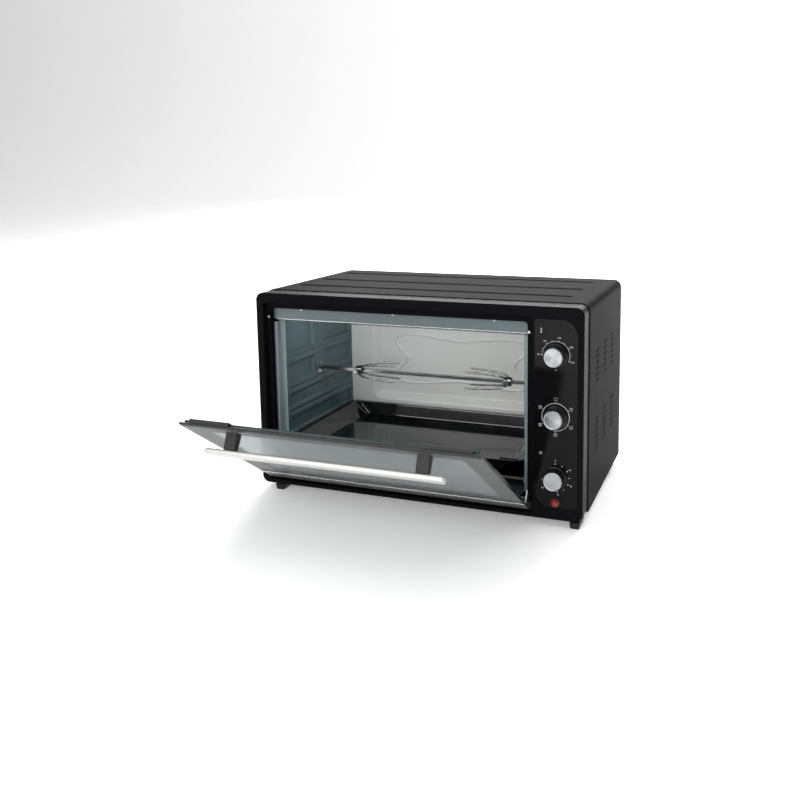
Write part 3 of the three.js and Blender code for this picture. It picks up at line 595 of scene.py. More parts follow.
def fine_steps(low, high, coarse, focuses, reach, fine):
    """Sorted places from low to high, closer together near each focus."""
    places = {round(low, 3), round(high, 3)}
    steps = max(1, round((high - low) / coarse))
    for i in range(steps + 1):
        value = low + (high - low) * i / steps
        if all(abs(value - f) > reach for f in focuses):
            places.add(round(value, 3))
    for focus in focuses:
        count = round(reach / fine)
        for i in range(-count, count + 1):
            value = focus + i * fine
            if low < value < high:
                places.add(round(value, 3))
    return sorted(places)


def vent_cutters(x0, x1):
    shapes = []
    for column in SLOTS["columns"]:
        y = CASING.y0 + column
        for group in SLOTS["groups"]:
            for row in range(SLOTS["rows"]):
                z = CASING.z0 + group + row * SLOTS["pitch"]
                half = SLOTS["length"] / 2
                rise = SLOTS["skew"]
                radius = SLOTS["height"] / 2
                low = arc(y - half + radius, z + radius, radius, 90, 270, 5)
                high = arc(y + half - radius, z + rise + radius, radius, -90, 90, 5)
                shapes.append(prism(low + high, x0, x1, "x"))
    return join(*shapes)


def make_casing():
    x0, x1, z0, z1 = CASING.x0, CASING.x1, CASING.z0, CASING.z1
    depth = CASING.y1 - CASING.y0
    ends = (GROOVES["x0"], GROOVES["x1"])
    section = [(x0, z0), (x0, z0 + 80), (x0, z0 + 160), (x0, z0 + 240)]
    section += arc(x0 + CASING_RADIUS, z1 - CASING_RADIUS, CASING_RADIUS, 180, 90, 10)
    inner = fine_steps(x0 + CASING_RADIUS, x1 - CASING_RADIUS, 14, ends, 10, 1.25)
    section += [(x, z1) for x in inner[1:-1]]
    section += arc(x1 - CASING_RADIUS, z1 - CASING_RADIUS, CASING_RADIUS, 90, 0, 10)
    section += [(x1, z0 + 240), (x1, z0 + 160), (x1, z0 + 80), (x1, z0)]
    along = fine_steps(0, depth, 16, GROOVES["places"], 10, 1.0)

    def place(i, y):
        x, z = section[i]
        drop = groove_depth(x, y) if z > z1 - 0.01 else 0
        return (x, CASING.y0 + y, z - drop)

    wrap = grid(range(len(section)), along, place)
    cuts = join(vent_cutters(x0 - 2, x0 + 3), vent_cutters(x1 - 3, x1 + 2))
    piece("casing_wrap", wrap, PAINT, replaces="outer_casing", thickness=SHEET, cuts=cuts)


def make_back():
    cover = Box("back_cover")
    refined("back_cover", "rear_cover", PAINT, bevel=0.3)
    heads = []
    for x in (cover.x0 + 10, cover.cx, cover.x1 - 10):
        for z in (cover.z0 + 10, cover.z1 - 10):
            head, _ = screw_head(x, -cover.y1, z, 3.4, 1.6)
            heads.append(([(px, -py, pz) for px, py, pz in head[0]], head[1]))
    for i, head in enumerate(heads):
        piece(f"rear_screw_{i + 1}", head, BRIGHT)
    gland = Box("cord_gland")
    ribs = [(3.8, gland.y0), (8, gland.y0), (8, cover.y1 + 0.3), (11, cover.y1 + 0.3), (11, cover.y1 + 2.6)]
    ribs += [(10.2, cover.y1 + 3.3), (7.6, cover.y1 + 3.6), (7, cover.y1 + 4.6), (7.6, cover.y1 + 5.4)]
    ribs += [(6.8, cover.y1 + 6.2), (6.4, gland.y1), (3.8, gland.y1)]
    piece("rear_gland", lathe(ribs, (gland.cx, gland.cz), "y"), PLASTIC, replaces="cord_gland")
    finish_node("bottom_plate", GALVANISED)
    for end in ("front", "rear"):
        for side in ("left", "right"):
            refined(f"foot_{end}_{side}", f"{end}_{side}_foot", PLASTIC, bevel=1.4)


# ------------------------------------------------------------------ bezel and control panel
RIM = 6.0
RECESS_DEPTH = 12.5
MOUTH_DEPTH = 22.5
OUTLINE = (BEZEL.x0, BEZEL.x1, BEZEL.z0, BEZEL.z1, 13)
RECESS = (BEZEL.x0 + 15.6, BEZEL.x0 + 496.1, BEZEL.z0 + 9, BEZEL.z0 + 324, 5)
MOUTH = (BEZEL.x0 + 23.1, BEZEL.x0 + 485.1, BEZEL.z0 + 23, BEZEL.z0 + 313, 6)


def bezel_ring(outline, inset, y):
    x0, x1, z0, z1, radius = outline
    return ring(rounded_rect(x0 + inset, x1 - inset, z0 + inset, z1 - inset, max(radius - inset, 0.8), 10), y)


def quarter(radius, count=6):
    """(across, along) from the side of a rounded edge to its face."""
    return [(radius * (1 - math.cos(math.pi / 2 * i / count)), radius * (1 - math.sin(math.pi / 2 * i / count)))
            for i in range(count + 1)]


def make_bezel():
    y0, y1 = BEZEL.y0, BEZEL.y1
    rings = [bezel_ring(OUTLINE, 0.1, y1 + 2), bezel_ring(OUTLINE, 0.1, y1), bezel_ring(OUTLINE, 0, y1 - 0.3)]
    rings += [bezel_ring(OUTLINE, inset, y0 + y) for inset, y in quarter(RIM, 8)]
    rings += [bezel_ring(RECESS, -y, y0 + inset) for inset, y in quarter(1.6)]
    land = y0 + RECESS_DEPTH
    rings += [bezel_ring(RECESS, inset, land - y) for inset, y in quarter(1.2, 4)]
    rings += [bezel_ring(MOUTH, -y, land + inset) for inset, y in quarter(1.6)]
    lip = y0 + MOUTH_DEPTH
    rings += [bezel_ring(MOUTH, 0, lip), bezel_ring(MOUTH, -1.5, lip), bezel_ring(MOUTH, -1.5, land + 3)]
    rings += [bezel_ring(OUTLINE, 3, land + 3), bezel_ring(OUTLINE, 3, y1 + 2)]
    seat = rounded_rect(PANEL.x0 - 0.4, PANEL.x1 + 0.4, PANEL.z0 - 0.4, PANEL.z1 + 0.4, (26, 5, 26, 5), 10)
    bay = rounded_rect(RECESS[1] + 3, BEZEL.x1 - 3, BEZEL.z0 + 3, BEZEL.z1 - 3, (1, 10, 10, 1), 10)
    hinge_z = JOINTS["door_hinge"]["pos_m"][2] / MM
    cuts = [
        prism(seat, y0 - 1, PANEL.y1 + 0.3, "y"),
        prism(bay, y0 + 4, y1 + 5, "y"),
        block(RECESS[0] + 2.5, RECESS[0] + 8, land - 1, lip + 1, hinge_z + 30, hinge_z + 51),
        block(RECESS[1] - 3, RECESS[1] + 0.4, land - 1, lip + 1, hinge_z + 30, hinge_z + 51),
    ]
    for knob in KNOBS:
        shaft = Box(f"{knob}_shaft")
        cuts.append(lathe([(0, y0 - 1), (5, y0 - 1), (5, y0 + 6), (0, y0 + 6)], (shaft.cx, shaft.cz), "y", 32))
    piece("front_frame", loft(rings, closed=True), BEZEL_PAINT, replaces="front_bezel",
          cuts=join(*cuts))
    for i, (x, z) in enumerate(((RECESS[0] + 3.2, BEZEL.z0 + 297.5), (RECESS[1] - 8.2, BEZEL.z0 + 297))):
        head, cross = screw_head(x, land, z, 2.6, 1.2)
        piece(f"land_screw_{i + 1}", head, BRIGHT, cuts=cross)


KNOBS = ("temperature", "function", "timer")
PRINT_DEPTH = 0.12


def ring_print(x, z, radius, width, start, end, count=48):
    """Part of a flat printed ring; angles in degrees, clockwise from the top as seen from the front."""
    y = PANEL.y0
    outline = [around(x, z, radius + width, start + (end - start) * i / count) for i in range(count + 1)]
    outline += [around(x, z, radius, end + (start - end) * i / count) for i in range(count + 1)]
    size = count + 1
    points = [(u, y - PRINT_DEPTH, v) for u, v in outline] + [(u, y + 0.05, v) for u, v in outline]
    total = len(outline)
    faces = []
    for i in range(size - 1):
        j = total - 1 - i
        faces.append((i, i + 1, j - 1, j))
        faces.append((total + i, total + j, total + j - 1, total + i + 1))
    for i in range(total):
        n = (i + 1) % total
        faces.append((i, total + i, total + n, n))
    return points, faces


def mark(x, z, width, height, turn=0.0):
    """A small printed bar, turned clockwise in degrees."""
    c, s = math.cos(math.radians(turn)), math.sin(math.radians(turn))
    corners = [(-width / 2, -height / 2), (width / 2, -height / 2), (width / 2, height / 2), (-width / 2, height / 2)]
    outline = [(x + u * c + v * s, z - u * s + v * c) for u, v in corners]
    return prism(outline, PANEL.y0 - PRINT_DEPTH, PANEL.y0 + 0.05, "y")


def dot(x, z, radius):
    return prism(arc(x, z, radius, 0, 345, 23), PANEL.y0 - PRINT_DEPTH, PANEL.y0 + 0.05, "y")


def number(text, x, z, size):
    """A small printed number, centred on a point."""
    curve = bpy.data.curves.new("number", "FONT")
    curve.body = text
    curve.size = size * MM
    curve.align_x = "CENTER"
    curve.align_y = "CENTER"
    curve.extrude = PRINT_DEPTH / 2 * MM
    letter = bpy.data.objects.new("number", curve)
    bpy.context.scene.collection.objects.link(letter)
    bpy.context.view_layer.update()
    mesh = bpy.data.meshes.new_from_object(letter.evaluated_get(bpy.context.evaluated_depsgraph_get()))
    points = [(x + v.co.x / MM, PANEL.y0 - 0.03 - v.co.z / MM, z + v.co.y / MM) for v in mesh.vertices]
    faces = [tuple(polygon.vertices) for polygon in mesh.polygons]
    bpy.data.objects.remove(letter)
    bpy.data.curves.remove(curve)
    bpy.data.meshes.remove(mesh)
    return points, faces


def around(x, z, radius, angle):
    """A point at an angle clockwise from the top."""
    return x + radius * math.sin(math.radians(angle)), z + radius * math.cos(math.radians(angle))


def oven_symbol(x, z, upper, lower, fan):
    """Generic heating symbol: a rounded square with a bar for each element that is on."""
    half, line = 2.3, 0.35
    shapes = [mark(x + side * half, z, line, 2 * half) for side in (-1, 1)]
    shapes += [mark(x, z + side * half, 4.9, line) for side in (-1, 1)]
    if upper:
        shapes.append(mark(x, z + 1.3, 3, 0.5))
    if lower:
        shapes.append(mark(x, z - 1.3, 3, 0.5))
    if fan:
        shapes.append(ring_print(x, z, 0.7, 0.4, 0, 359, 18))
    return join(*shapes)


def thermometer(x, z):
    return join(dot(x, z - 2.6, 1.3), mark(x, z + 0.8, 1.1, 6), mark(x + 1.5, z + 2.2, 1, 0.35),
                mark(x + 1.5, z + 0.8, 1, 0.35))


def clock(x, z):
    return join(ring_print(x, z, 1.9, 0.45, 0, 359, 30), mark(x, z + 0.7, 0.35, 1.5), mark(x + 0.5, z, 1.1, 0.35))


def dial_temperature(x, z):
    shapes = [ring_print(x, z, 21.6, 0.55, -96, 118)]
    for i in range(9):
        angle = -90 + i * 25
        shapes.append(mark(*around(x, z, 23.2, angle), 0.7 if i % 2 == 0 else 0.45, 2.2, angle))
    for i, text in enumerate(("50", "100", "150", "200", "250")):
        shapes.append(number(text, *around(x, z, 27.8, -90 + i * 50), 3.7))
    shapes.append(dot(*around(x, z, 23, 180), 0.8))
    shapes.append(thermometer(PANEL.x0 + 11, z + 38))
    return join(*shapes)


def dial_function(x, z):
    shapes = [ring_print(x, z, 21.4, 0.9, 0, 359, 72)]
    states = ((0, 0, 0), (1, 0, 0), (0, 1, 0), (1, 1, 0), (1, 1, 1), (1, 0, 1))
    for i, (upper, lower, fan) in enumerate(states):
        angle = 60 * i
        shapes.append(mark(*around(x, z, 23.0, angle), 0.7, 1.8, angle))
        shapes.append(oven_symbol(*around(x, z, 28.2, angle), upper, lower, fan))
    return join(*shapes)


def dial_timer(x, z):
    shapes = []
    for i in range(10):
        shapes.append(dot(*around(x, z, 22.4, i * 28.5), 0.8 if i % 2 else 1.0))
    for i, text in enumerate(("0", "15", "30", "45", "60")):
        shapes.append(number(text, *around(x, z, 27.4, i * 57), 3.7))
    shapes.append(clock(PANEL.x0 + 11, z + 38))
    return join(*shapes)


def make_knob(name):
    whole = Box(f"{name}_knob")
    x, z = whole.cx, whole.cz
    base, front = whole.y1, whole.y0
    skirt = (whole.x1 - whole.x0) / 2
    face = Box(f"{name}_knob_cap")
    cap = (face.x1 - face.x0) / 2
    profile = [(0, base), (skirt - 0.4, base), (skirt, base - 0.4), (skirt, base - 2.0), (skirt - 0.5, base - 2.6)]
    profile += [(skirt - 1.5, base - 3.0), (skirt - 1.9, base - 3.6)]
    profile += [(cap + 1.35, front + 1.6), (cap + 1.1, front + 0.6), (cap + 0.7, front + 0.1)]
    profile += [(cap + 0.35, front + 0.05), (cap + 0.2, front + 0.35), (cap + 0.2, front + 1.1), (0, front + 1.1)]
    socket = lathe([(0, base + 1), (3.3, base + 1), (3.3, front + 5.7), (0, front + 5.7)], (x, z), "y", 32)
    piece(f"{name}_knob_body", lathe(profile, (x, z), "y", 96), KNOB_PLASTIC, f"{name}_knob",
          replaces=f"{name}_knob", cuts=socket, smooth=30)
    disc = [(0, face.y1), (cap, face.y1), (cap, front + 0.45), (cap - 0.15, front + 0.2), (cap - 0.5, front + 0.1)]
    disc += [(cap - 1.4, front + 0.35), (cap - 1.6, front + 0.4)]
    disc += [(radius, front + 0.4 - 0.25 * (1 - (radius / (cap - 1.6)) ** 2)) for radius in
             (cap * 0.75, cap * 0.5, cap * 0.25)]
    disc += [(0, front + 0.12)]
    turned = [(r, y - face.cy) for r, y in disc]
    piece(f"{name}_knob_face", lathe(turned, (0, 0), "y", 96), CAP, f"{name}_knob",
          replaces=face.name, smooth=25,
          matrix=Matrix.Translation((x * MM, face.cy * MM, z * MM)))


def make_controls():
    lens = Box("pilot_lamp_lens")
    places = [(Box(f"{knob}_shaft"), 4.5) for knob in KNOBS] + [(lens, 5)]
    holes = [lathe([(0, PANEL.y0 - 1), (r, PANEL.y0 - 1), (r, PANEL.y1 + 1), (0, PANEL.y1 + 1)],
                   (node.cx, node.cz), "y", 32) for node, r in places]
    radii = (26, 5, 26, 5)
    rings = []
    for inset, y in reversed(quarter(0.9, 5)):
        outline = rounded_rect(PANEL.x0 + inset, PANEL.x1 - inset, PANEL.z0 + inset, PANEL.z1 - inset,
                               [r - inset for r in radii], 12)
        rings.append(ring(outline, PANEL.y0 + y))
    rings.append([(u, PANEL.y1, v) for u, _, v in rings[-1]])
    piece("panel_plate", loft(rings), PANEL_GLOSS, replaces="control_panel", cuts=join(*holes))

    dials = {"temperature": dial_temperature, "function": dial_function, "timer": dial_timer}
    for name, dial in dials.items():
        shaft = Box(f"{name}_shaft")
        piece(f"{name}_dial", dial(shaft.cx, shaft.cz), PRINT)
        make_knob(name)
        finish_node(f"{name}_shaft", BRIGHT)
    for node in ("thermostat_body", "rotisserie_motor"):
        finish_node(node, GALVANISED)
    for node in ("function_switch_body", "timer_body", "pilot_lamp_holder"):
        finish_node(node, PLASTIC)

    dome = [(0, lens.y1), (4.6, lens.y1), (4.6, PANEL.y0 - 0.2), (6.4, PANEL.y0 - 0.2), (6.4, PANEL.y0 - 0.9)]
    dome += [(5.7 * math.cos(math.radians(a)), PANEL.y0 - 1.0 - 4.2 * math.sin(math.radians(a)))
             for a in range(0, 90, 10)]
    dome += [(0, PANEL.y0 - 5.2)]
    piece("pilot_lens", lathe(dome, (lens.cx, lens.cz), "y"), LENS, replaces="pilot_lamp_lens",
          smooth=50)


# ------------------------------------------------------------------ cavity
LEFT_WALL = Box("cavity_left_wall")
RIGHT_WALL = Box("cavity_right_wall")
BACK_WALL = Box("cavity_back_wall")
WALL_X = Box("cavity_ceiling").x0 - 0.3            # inner face of the left wall
MIDDLE_X = (LEFT_WALL.x0 + RIGHT_WALL.x1) / 2
CAVITY_Y = (LEFT_WALL.y0 + 13, BACK_WALL.y0)       # behind the mouth's step, to the back wall
CAVITY_Z = (LEFT_WALL.z0, LEFT_WALL.z1)
SIDE_STEP = 8.5
FLANGE = 11
FLOOR_Z = CASING.z0                                # heights below are counted from the casing's underside
RAILS = ((203, 219), (147, 164), (103, 121), (62, 75))
PANEL_TOP = 290
PANEL_Y = (BEZEL.y0 + 40, BEZEL.y0 + 275)
CHANNEL_Y = (BEZEL.y0 + 132, BEZEL.y0 + 168)
PRESS_DEPTH = 5.0


def wall_windows():
    """The stamped side panels as (y0, y1, z0, z1)."""
    windows = []
    top = PANEL_TOP
    for i, (low, high) in enumerate(RAILS):
        if i < 2:
            windows.append((PANEL_Y[0], CHANNEL_Y[0], high, top))
            windows.append((CHANNEL_Y[1], PANEL_Y[1], high, top))
        else:
            windows.append((PANEL_Y[0], PANEL_Y[1], high, top))
        top = low
    return [(a, b, FLOOR_Z + c, FLOOR_Z + d) for a, b, c, d in windows]


def rect_distance(u, v, u0, u1, v0, v1, radius):
    """Signed distance inside a rounded rectangle: positive within it."""
    du = max(u0 + radius - u, u - (u1 - radius))
    dv = max(v0 + radius - v, v - (v1 - radius))
    outside = math.hypot(max(du, 0), max(dv, 0))
    return radius - outside if outside > 0 else radius + min(-max(du, dv), 50)


def ease(value):
    value = min(max(value, 0.0), 1.0)
    return value * value * (3 - 2 * value)


def wall_relief(y, z):
    """How far the side wall is pressed outwards at a point."""
    depth = 0.0
    for y0, y1, z0, z1 in WINDOWS:
        depth = max(depth, PRESS_DEPTH * ease(rect_distance(y, z, y0, y1, z0, z1, 6) / 4.5))
    if depth < 0.2:
        for low, high in RAILS[:3]:
            middle = FLOOR_Z + (low + high) / 2 + 1
            along = max(PANEL_Y[0] + 6 - y, y - PANEL_Y[1] + 6, 0)
            distance = math.hypot(along, z - middle) / 3.2
            if distance < 1:
                depth = max(depth, 1.3 * (0.5 + 0.5 * math.cos(math.pi * distance)))
    return depth


WINDOWS = wall_windows()


def side_wall_shape():
    edges_y = [PANEL_Y[0] + 2, CHANNEL_Y[0] - 2, CHANNEL_Y[1] + 2, PANEL_Y[1] - 2]
    edges_z = [FLOOR_Z + v for rail in RAILS for v in rail] + [FLOOR_Z + PANEL_TOP]
    edges_z += [FLOOR_Z + (low + high) / 2 + 1 for low, high in RAILS[:3]]
    ys = fine_steps(CAVITY_Y[0] + 0.5, CAVITY_Y[1], 12, edges_y, 6, 1.0)
    zs = fine_steps(CAVITY_Z[0], CAVITY_Z[1], 12, edges_z, 6, 1.0)
    main = grid(ys, zs, lambda y, z: (WALL_X - wall_relief(y, z), y, z))

    # The return beside the mouth: flange, side and the rounded step up to the wall
    front = LEFT_WALL.y0
    outer = WALL_X - SIDE_STEP
    plan = [(outer - FLANGE, front), (outer - 6, front)]
    plan += arc(outer - 2, front + 2, 2, 270, 360, 5)
    plan += arc(outer + 2.5, CAVITY_Y[0] - 2.5 - 0.4, 2.5, 180, 90, 5)
    plan += arc(WALL_X - 2.5, CAVITY_Y[0] - 0.4 + 2.5, 2.5, 270, 360, 5)
    low, high = CAVITY_Z[0], FLOOR_Z + 283.5
    levels = [low + (high - low) * i / 6 for i in range(7)]
    step = grid(range(len(plan)), levels, lambda i, z: (*plan[i], z))
    return main, step


def make_side_walls():
    sheet, step = side_wall_shape()
    ledge_z = FLOOR_Z + RAILS[3][1]
    ledge = prism(
        [(WALL_X - 0.8, ledge_z - SHEET), (WALL_X + 4.4, ledge_z - SHEET), (WALL_X + 5, ledge_z - 0.6),
         (WALL_X + 4.4, ledge_z), (WALL_X - 0.8, ledge_z)], PANEL_Y[0], PANEL_Y[1], "y")
    for side, reflect in (("left", False), ("right", True)):
        wall = mirrored(sheet, MIDDLE_X) if reflect else sheet
        piece(f"{side}_wall_sheet", wall, WALL_COAT, replaces=f"cavity_{side}_wall",
              thickness=SHEET)
        edge = mirrored(step, MIDDLE_X) if reflect else step
        # The return gets the lighter coating, a painted highlight on its rounded step
        piece(f"{side}_wall_return", edge, RETURN_HIGHLIGHT_COAT, thickness=SHEET, smooth=60)
        shelf = mirrored(ledge, MIDDLE_X) if reflect else ledge
        piece(f"{side}_tray_ledge", shelf, WALL_COAT)


BEAD = {"cx": -21, "cz": 166, "half_x": 145, "half_z": 52, "half_width": 2.6, "depth": 3.0}
DISH = {"x0": -204, "x1": 137, "z0": 82, "z1": 282, "depth": 17, "slope": 14}


def bead_points():
    """Four-lobed closed line with waisted sides, pressed into the back wall."""
    points = []
    for i in range(360):
        a = math.radians(i)
        c, s = math.cos(a), math.sin(a)
        square = (c ** 6 + s ** 6) ** (-1 / 6)
        waist = 1 - 0.22 * math.cos(2 * a) ** 2
        points.append((BEAD["cx"] + BEAD["half_x"] * c * square * waist,
                       FLOOR_Z + BEAD["cz"] + BEAD["half_z"] * s * square * waist))
    return points


def back_relief_function():
    points = bead_points()

    def relief(x, z):
        inside = rect_distance(x, z, DISH["x0"], DISH["x1"], FLOOR_Z + DISH["z0"], FLOOR_Z + DISH["z1"], 16)
        depth = DISH["depth"] * ease(inside / DISH["slope"])
        if abs(x - BEAD["cx"]) < BEAD["half_x"] + 12 and abs(z - FLOOR_Z - BEAD["cz"]) < BEAD["half_z"] + 12:
            nearest = min(math.hypot(x - u, z - v) for u, v in points) / BEAD["half_width"]
            if nearest < 1:
                depth -= BEAD["depth"] * (0.5 + 0.5 * math.cos(math.pi * nearest))
        return depth

    return relief


def make_back_wall():
    relief = back_relief_function()
    x_focus = [DISH["x0"] + 7, DISH["x1"] - 7]
    z_focus = [FLOOR_Z + DISH["z0"] + 7, FLOOR_Z + DISH["z1"] - 7]
    fine = 1.5
    bead_x = [BEAD["cx"] - BEAD["half_x"] - 6 + i * fine for i in range(int((2 * BEAD["half_x"] + 12) / fine) + 1)]
    bead_z = [FLOOR_Z + BEAD["cz"] - BEAD["half_z"] - 6 + i * fine
              for i in range(int((2 * BEAD["half_z"] + 12) / fine) + 1)]
    xs = sorted(set(fine_steps(BACK_WALL.x0, BACK_WALL.x1, 12, x_focus, 10, 2)) | {round(v, 3) for v in bead_x})
    zs = sorted(set(fine_steps(BACK_WALL.z0, BACK_WALL.z1, 12, z_focus, 10, 2)) | {round(v, 3) for v in bead_z})
    sheet = grid(xs, zs, lambda x, z: (x, BACK_WALL.y0 + relief(x, z), z))
    piece("back_wall_sheet", sheet, BACK_COAT, replaces="cavity_back_wall", thickness=1.0,
          smooth=60)


def make_baffle():
    baffle = Box("top_baffle")
    y, z0, z1 = baffle.y0, baffle.z0, baffle.z1
    front = [(y, z1), (y, z0 + 6.4), *arc(y + 3, z0 + 6.4, 3, 180, 240, 5), (y + 11.2, z0)]
    back = [(y + 11.4, z0 + 1.1), *arc(y + 3, z0 + 6.4, 1.8, 240, 180, 5), (y + 1.2, z0 + 6.6), (y + 1.2, z1)]
    piece("baffle_strip", prism(front + back, baffle.x0, baffle.x1, "x"), BAFFLE_COAT, replaces="top_baffle",
          smooth=50)
    # A bright steel rod laid along the rounded lower bend is a painted highlight on the enamel's bend
    bead = prism(arc(y + 1.1, z0 + 4.6, 1.2, 0, 345, 23), baffle.x0, baffle.x1, "x")
    piece("baffle_bend_highlight", bead, BRIGHT, slot="cavity_enamel", smooth=60)
    for i, x in enumerate((-201, -27, 143)):
        dimple = [(0, y + 0.3), (4.2, y + 0.3), (4.2, y - 0.02), (3.4, y - 0.25), (2.4, y - 0.1), (0, y + 0.02)]
        piece(f"baffle_weld_{i + 1}", lathe(dimple, (x, z0 + 12), "y", 32), BAFFLE_COAT)
    for i, x in enumerate((-211, -38, 139)):
        head = [(0, y + 0.3), (2.4, y + 0.3), (2.3, y - 0.5), (1.5, y - 1.0), (0, y - 1.2)]
        piece(f"baffle_rivet_{i + 1}", lathe(head, (x, z0 + 22.5), "y", 32), BRIGHT, smooth=60)


def make_heaters():
    for name in ("heater_upper_front", "heater_upper_rear", "heater_lower_front", "heater_lower_rear"):
        node = Box(name)
        radius = (node.z1 - node.z0) / 2
        rod = [(0, node.x0), (1.5, node.x0), (1.5, node.x0 + 5), (radius, node.x0 + 5)]
        rod += [(radius, node.x1 - 5), (1.5, node.x1 - 5), (1.5, node.x1), (0, node.x1)]
        piece(f"{name}_rod", lathe(rod, (node.cy, node.cz), "x", 32), HEATER, replaces=name)
        for side, wall, way in (("left", WALL_X, 1), ("right", 2 * MIDDLE_X - WALL_X, -1)):
            bush = [(radius + r, wall + way * v)
                    for r, v in ((0.2, 0.1), (3.2, 0.1), (3.2, 2.6), (2.4, 3.4), (0.2, 3.4))]
            piece(f"{name}_bush_{side}", lathe(bush, (node.cy, node.cz), "x", 40), CERAMIC)


# ------------------------------------------------------------------ tray
def make_tray():
    tray = Box("drip_tray")
    rim = tray.z1 - 3.4
    floor = tray.z0 + SHEET
    inner = (tray.x0 + 12, tray.x1 - 12, tray.y0 + 9, tray.y1 - 8)
    lean_x, lean_y = 27, 7

    def level(x0, x1, y0, y1, radius, z):
        return ring(rounded_rect(x0, x1, y0, y1, radius), z, "z")

    def wall(t, grow=0.0):
        """The outline of the leaning wall: t from 0 at the rim to 1 at the floor."""
        x0, x1, y0, y1 = inner
        return (x0 + lean_x * t - grow, x1 - lean_x * t + grow,
                y0 + lean_y * t - grow, y1 - lean_y * t + grow, 13 - 2 * t)

    height = rim - floor
    # The rolled edge, then the inside from the rim down to the floor
    rings = [level(tray.x0 + inset, tray.x1 - inset, tray.y0 + inset, tray.y1 - inset, 14, rim - drop)
             for inset, drop in ((0.3, 1.2), (0, 0.6), (0.3, 0.1), (1, 0))]
    rings.append(level(*wall(-0.06), rim))
    for t, drop in ((0.0, 0.25), (0.04, 0.9), (0.1, 2.2), (0.5, height * 0.5), (0.88, height - 2.4),
                    (0.95, height - 0.9), (1.02, height - 0.2), (1.12, height)):
        rings.append(level(*wall(t), rim - drop))
    x0, x1, y0, y1, radius = wall(1.6)
    rings.append(level(x0, x1, y0 + 4, y1 - 4, radius, floor))
    under = [level(x0, x1, y0 + 4, y1 - 4, radius, floor - SHEET)]
    for t, drop in ((1.12, height + SHEET), (1.0, height + SHEET - 0.3), (0.5, height * 0.5 + SHEET),
                    (0.1, 2.2 + SHEET), (0.0, SHEET)):
        under.append(level(*wall(t, 1.0), rim - drop))
    points, faces = loft(rings + under, closed=True)
    size = len(rings[0])
    last = (len(rings) - 1) * size
    # One flat face replaces the band between the inside of the floor and its underside
    seam = {frozenset((last + k, last + (k + 1) % size, last + size + (k + 1) % size, last + size + k))
            for k in range(size)}
    faces = [f for f in faces if frozenset(f) not in seam]
    faces.append(tuple(last + k for k in range(size)))
    faces.append(tuple(last + size + k for k in reversed(range(size))))
    middle = tray.cx + 195
    tab = prism(rounded_rect(middle - 16, middle + 16, rim - 0.5, tray.z1, (0.2, 0.2, 1.6, 1.6), 5),
                tray.y0 + 0.4, tray.y0 + 1.7, "y")
    piece("tray_pan", (points, faces), TRAY_ENAMEL, "tray", replaces="drip_tray", smooth=42)
    piece("tray_tab", tab, TRAY_ENAMEL, "tray")


# ------------------------------------------------------------------ spit
def make_spit():
    half = 3.0
    left = Box("spit_journal").x0
    wall = WALL_X
    socket = Box("spit_drive_socket")
    bar = prism(rounded_rect(SPIT_Y - half, SPIT_Y + half, SPIT_Z - half, SPIT_Z + half, 0.5, 3),
                wall + 8.9, ROD.x1, "x")
    journal = [(0, left), (1.2, left), (2.6, left + 2.4), (2.9, left + 3.4), (2.9, wall + 5), (4.4, wall + 5)]
    journal += [(5, wall + 5.5), (5, wall + 8.6), (4.5, wall + 9.2), (0, wall + 9.2)]
    piece("spit_bar", bar, CHROME, "spit", replaces="spit_rod")
    piece("spit_end", lathe(journal, (SPIT_Y, SPIT_Z), "x", 40), CHROME, "spit", replaces="spit_journal")
    cup = [(0, socket.x0 + 7.2), (3.9, socket.x0 + 7.2), (3.9, socket.x0), (6.9, socket.x0), (7.5, socket.x0 + 0.6)]
    cup += [(7.5, socket.x0 + 7.4), (6.9, socket.x0 + 8), (4.5, socket.x0 + 8), (4.5, socket.x1), (0, socket.x1)]
    piece("spit_socket", lathe(cup, (SPIT_Y, SPIT_Z), "x", 48), BRIGHT, "spit", replaces="spit_drive_socket")
    refined("spit_bearing_plate", "spit_bearing", BRIGHT)
    rivet = [(0, wall), (2.6, wall), (2.5, wall + 2.1), (1.6, wall + 2.9), (0, wall + 3.1)]
    piece("bearing_rivet", lathe(rivet, (SPIT_Y, SPIT_Z - 9.4), "x", 32), BRIGHT, smooth=60)

    for side, way in (("left", 1), ("right", -1)):
        make_fork(side, way)


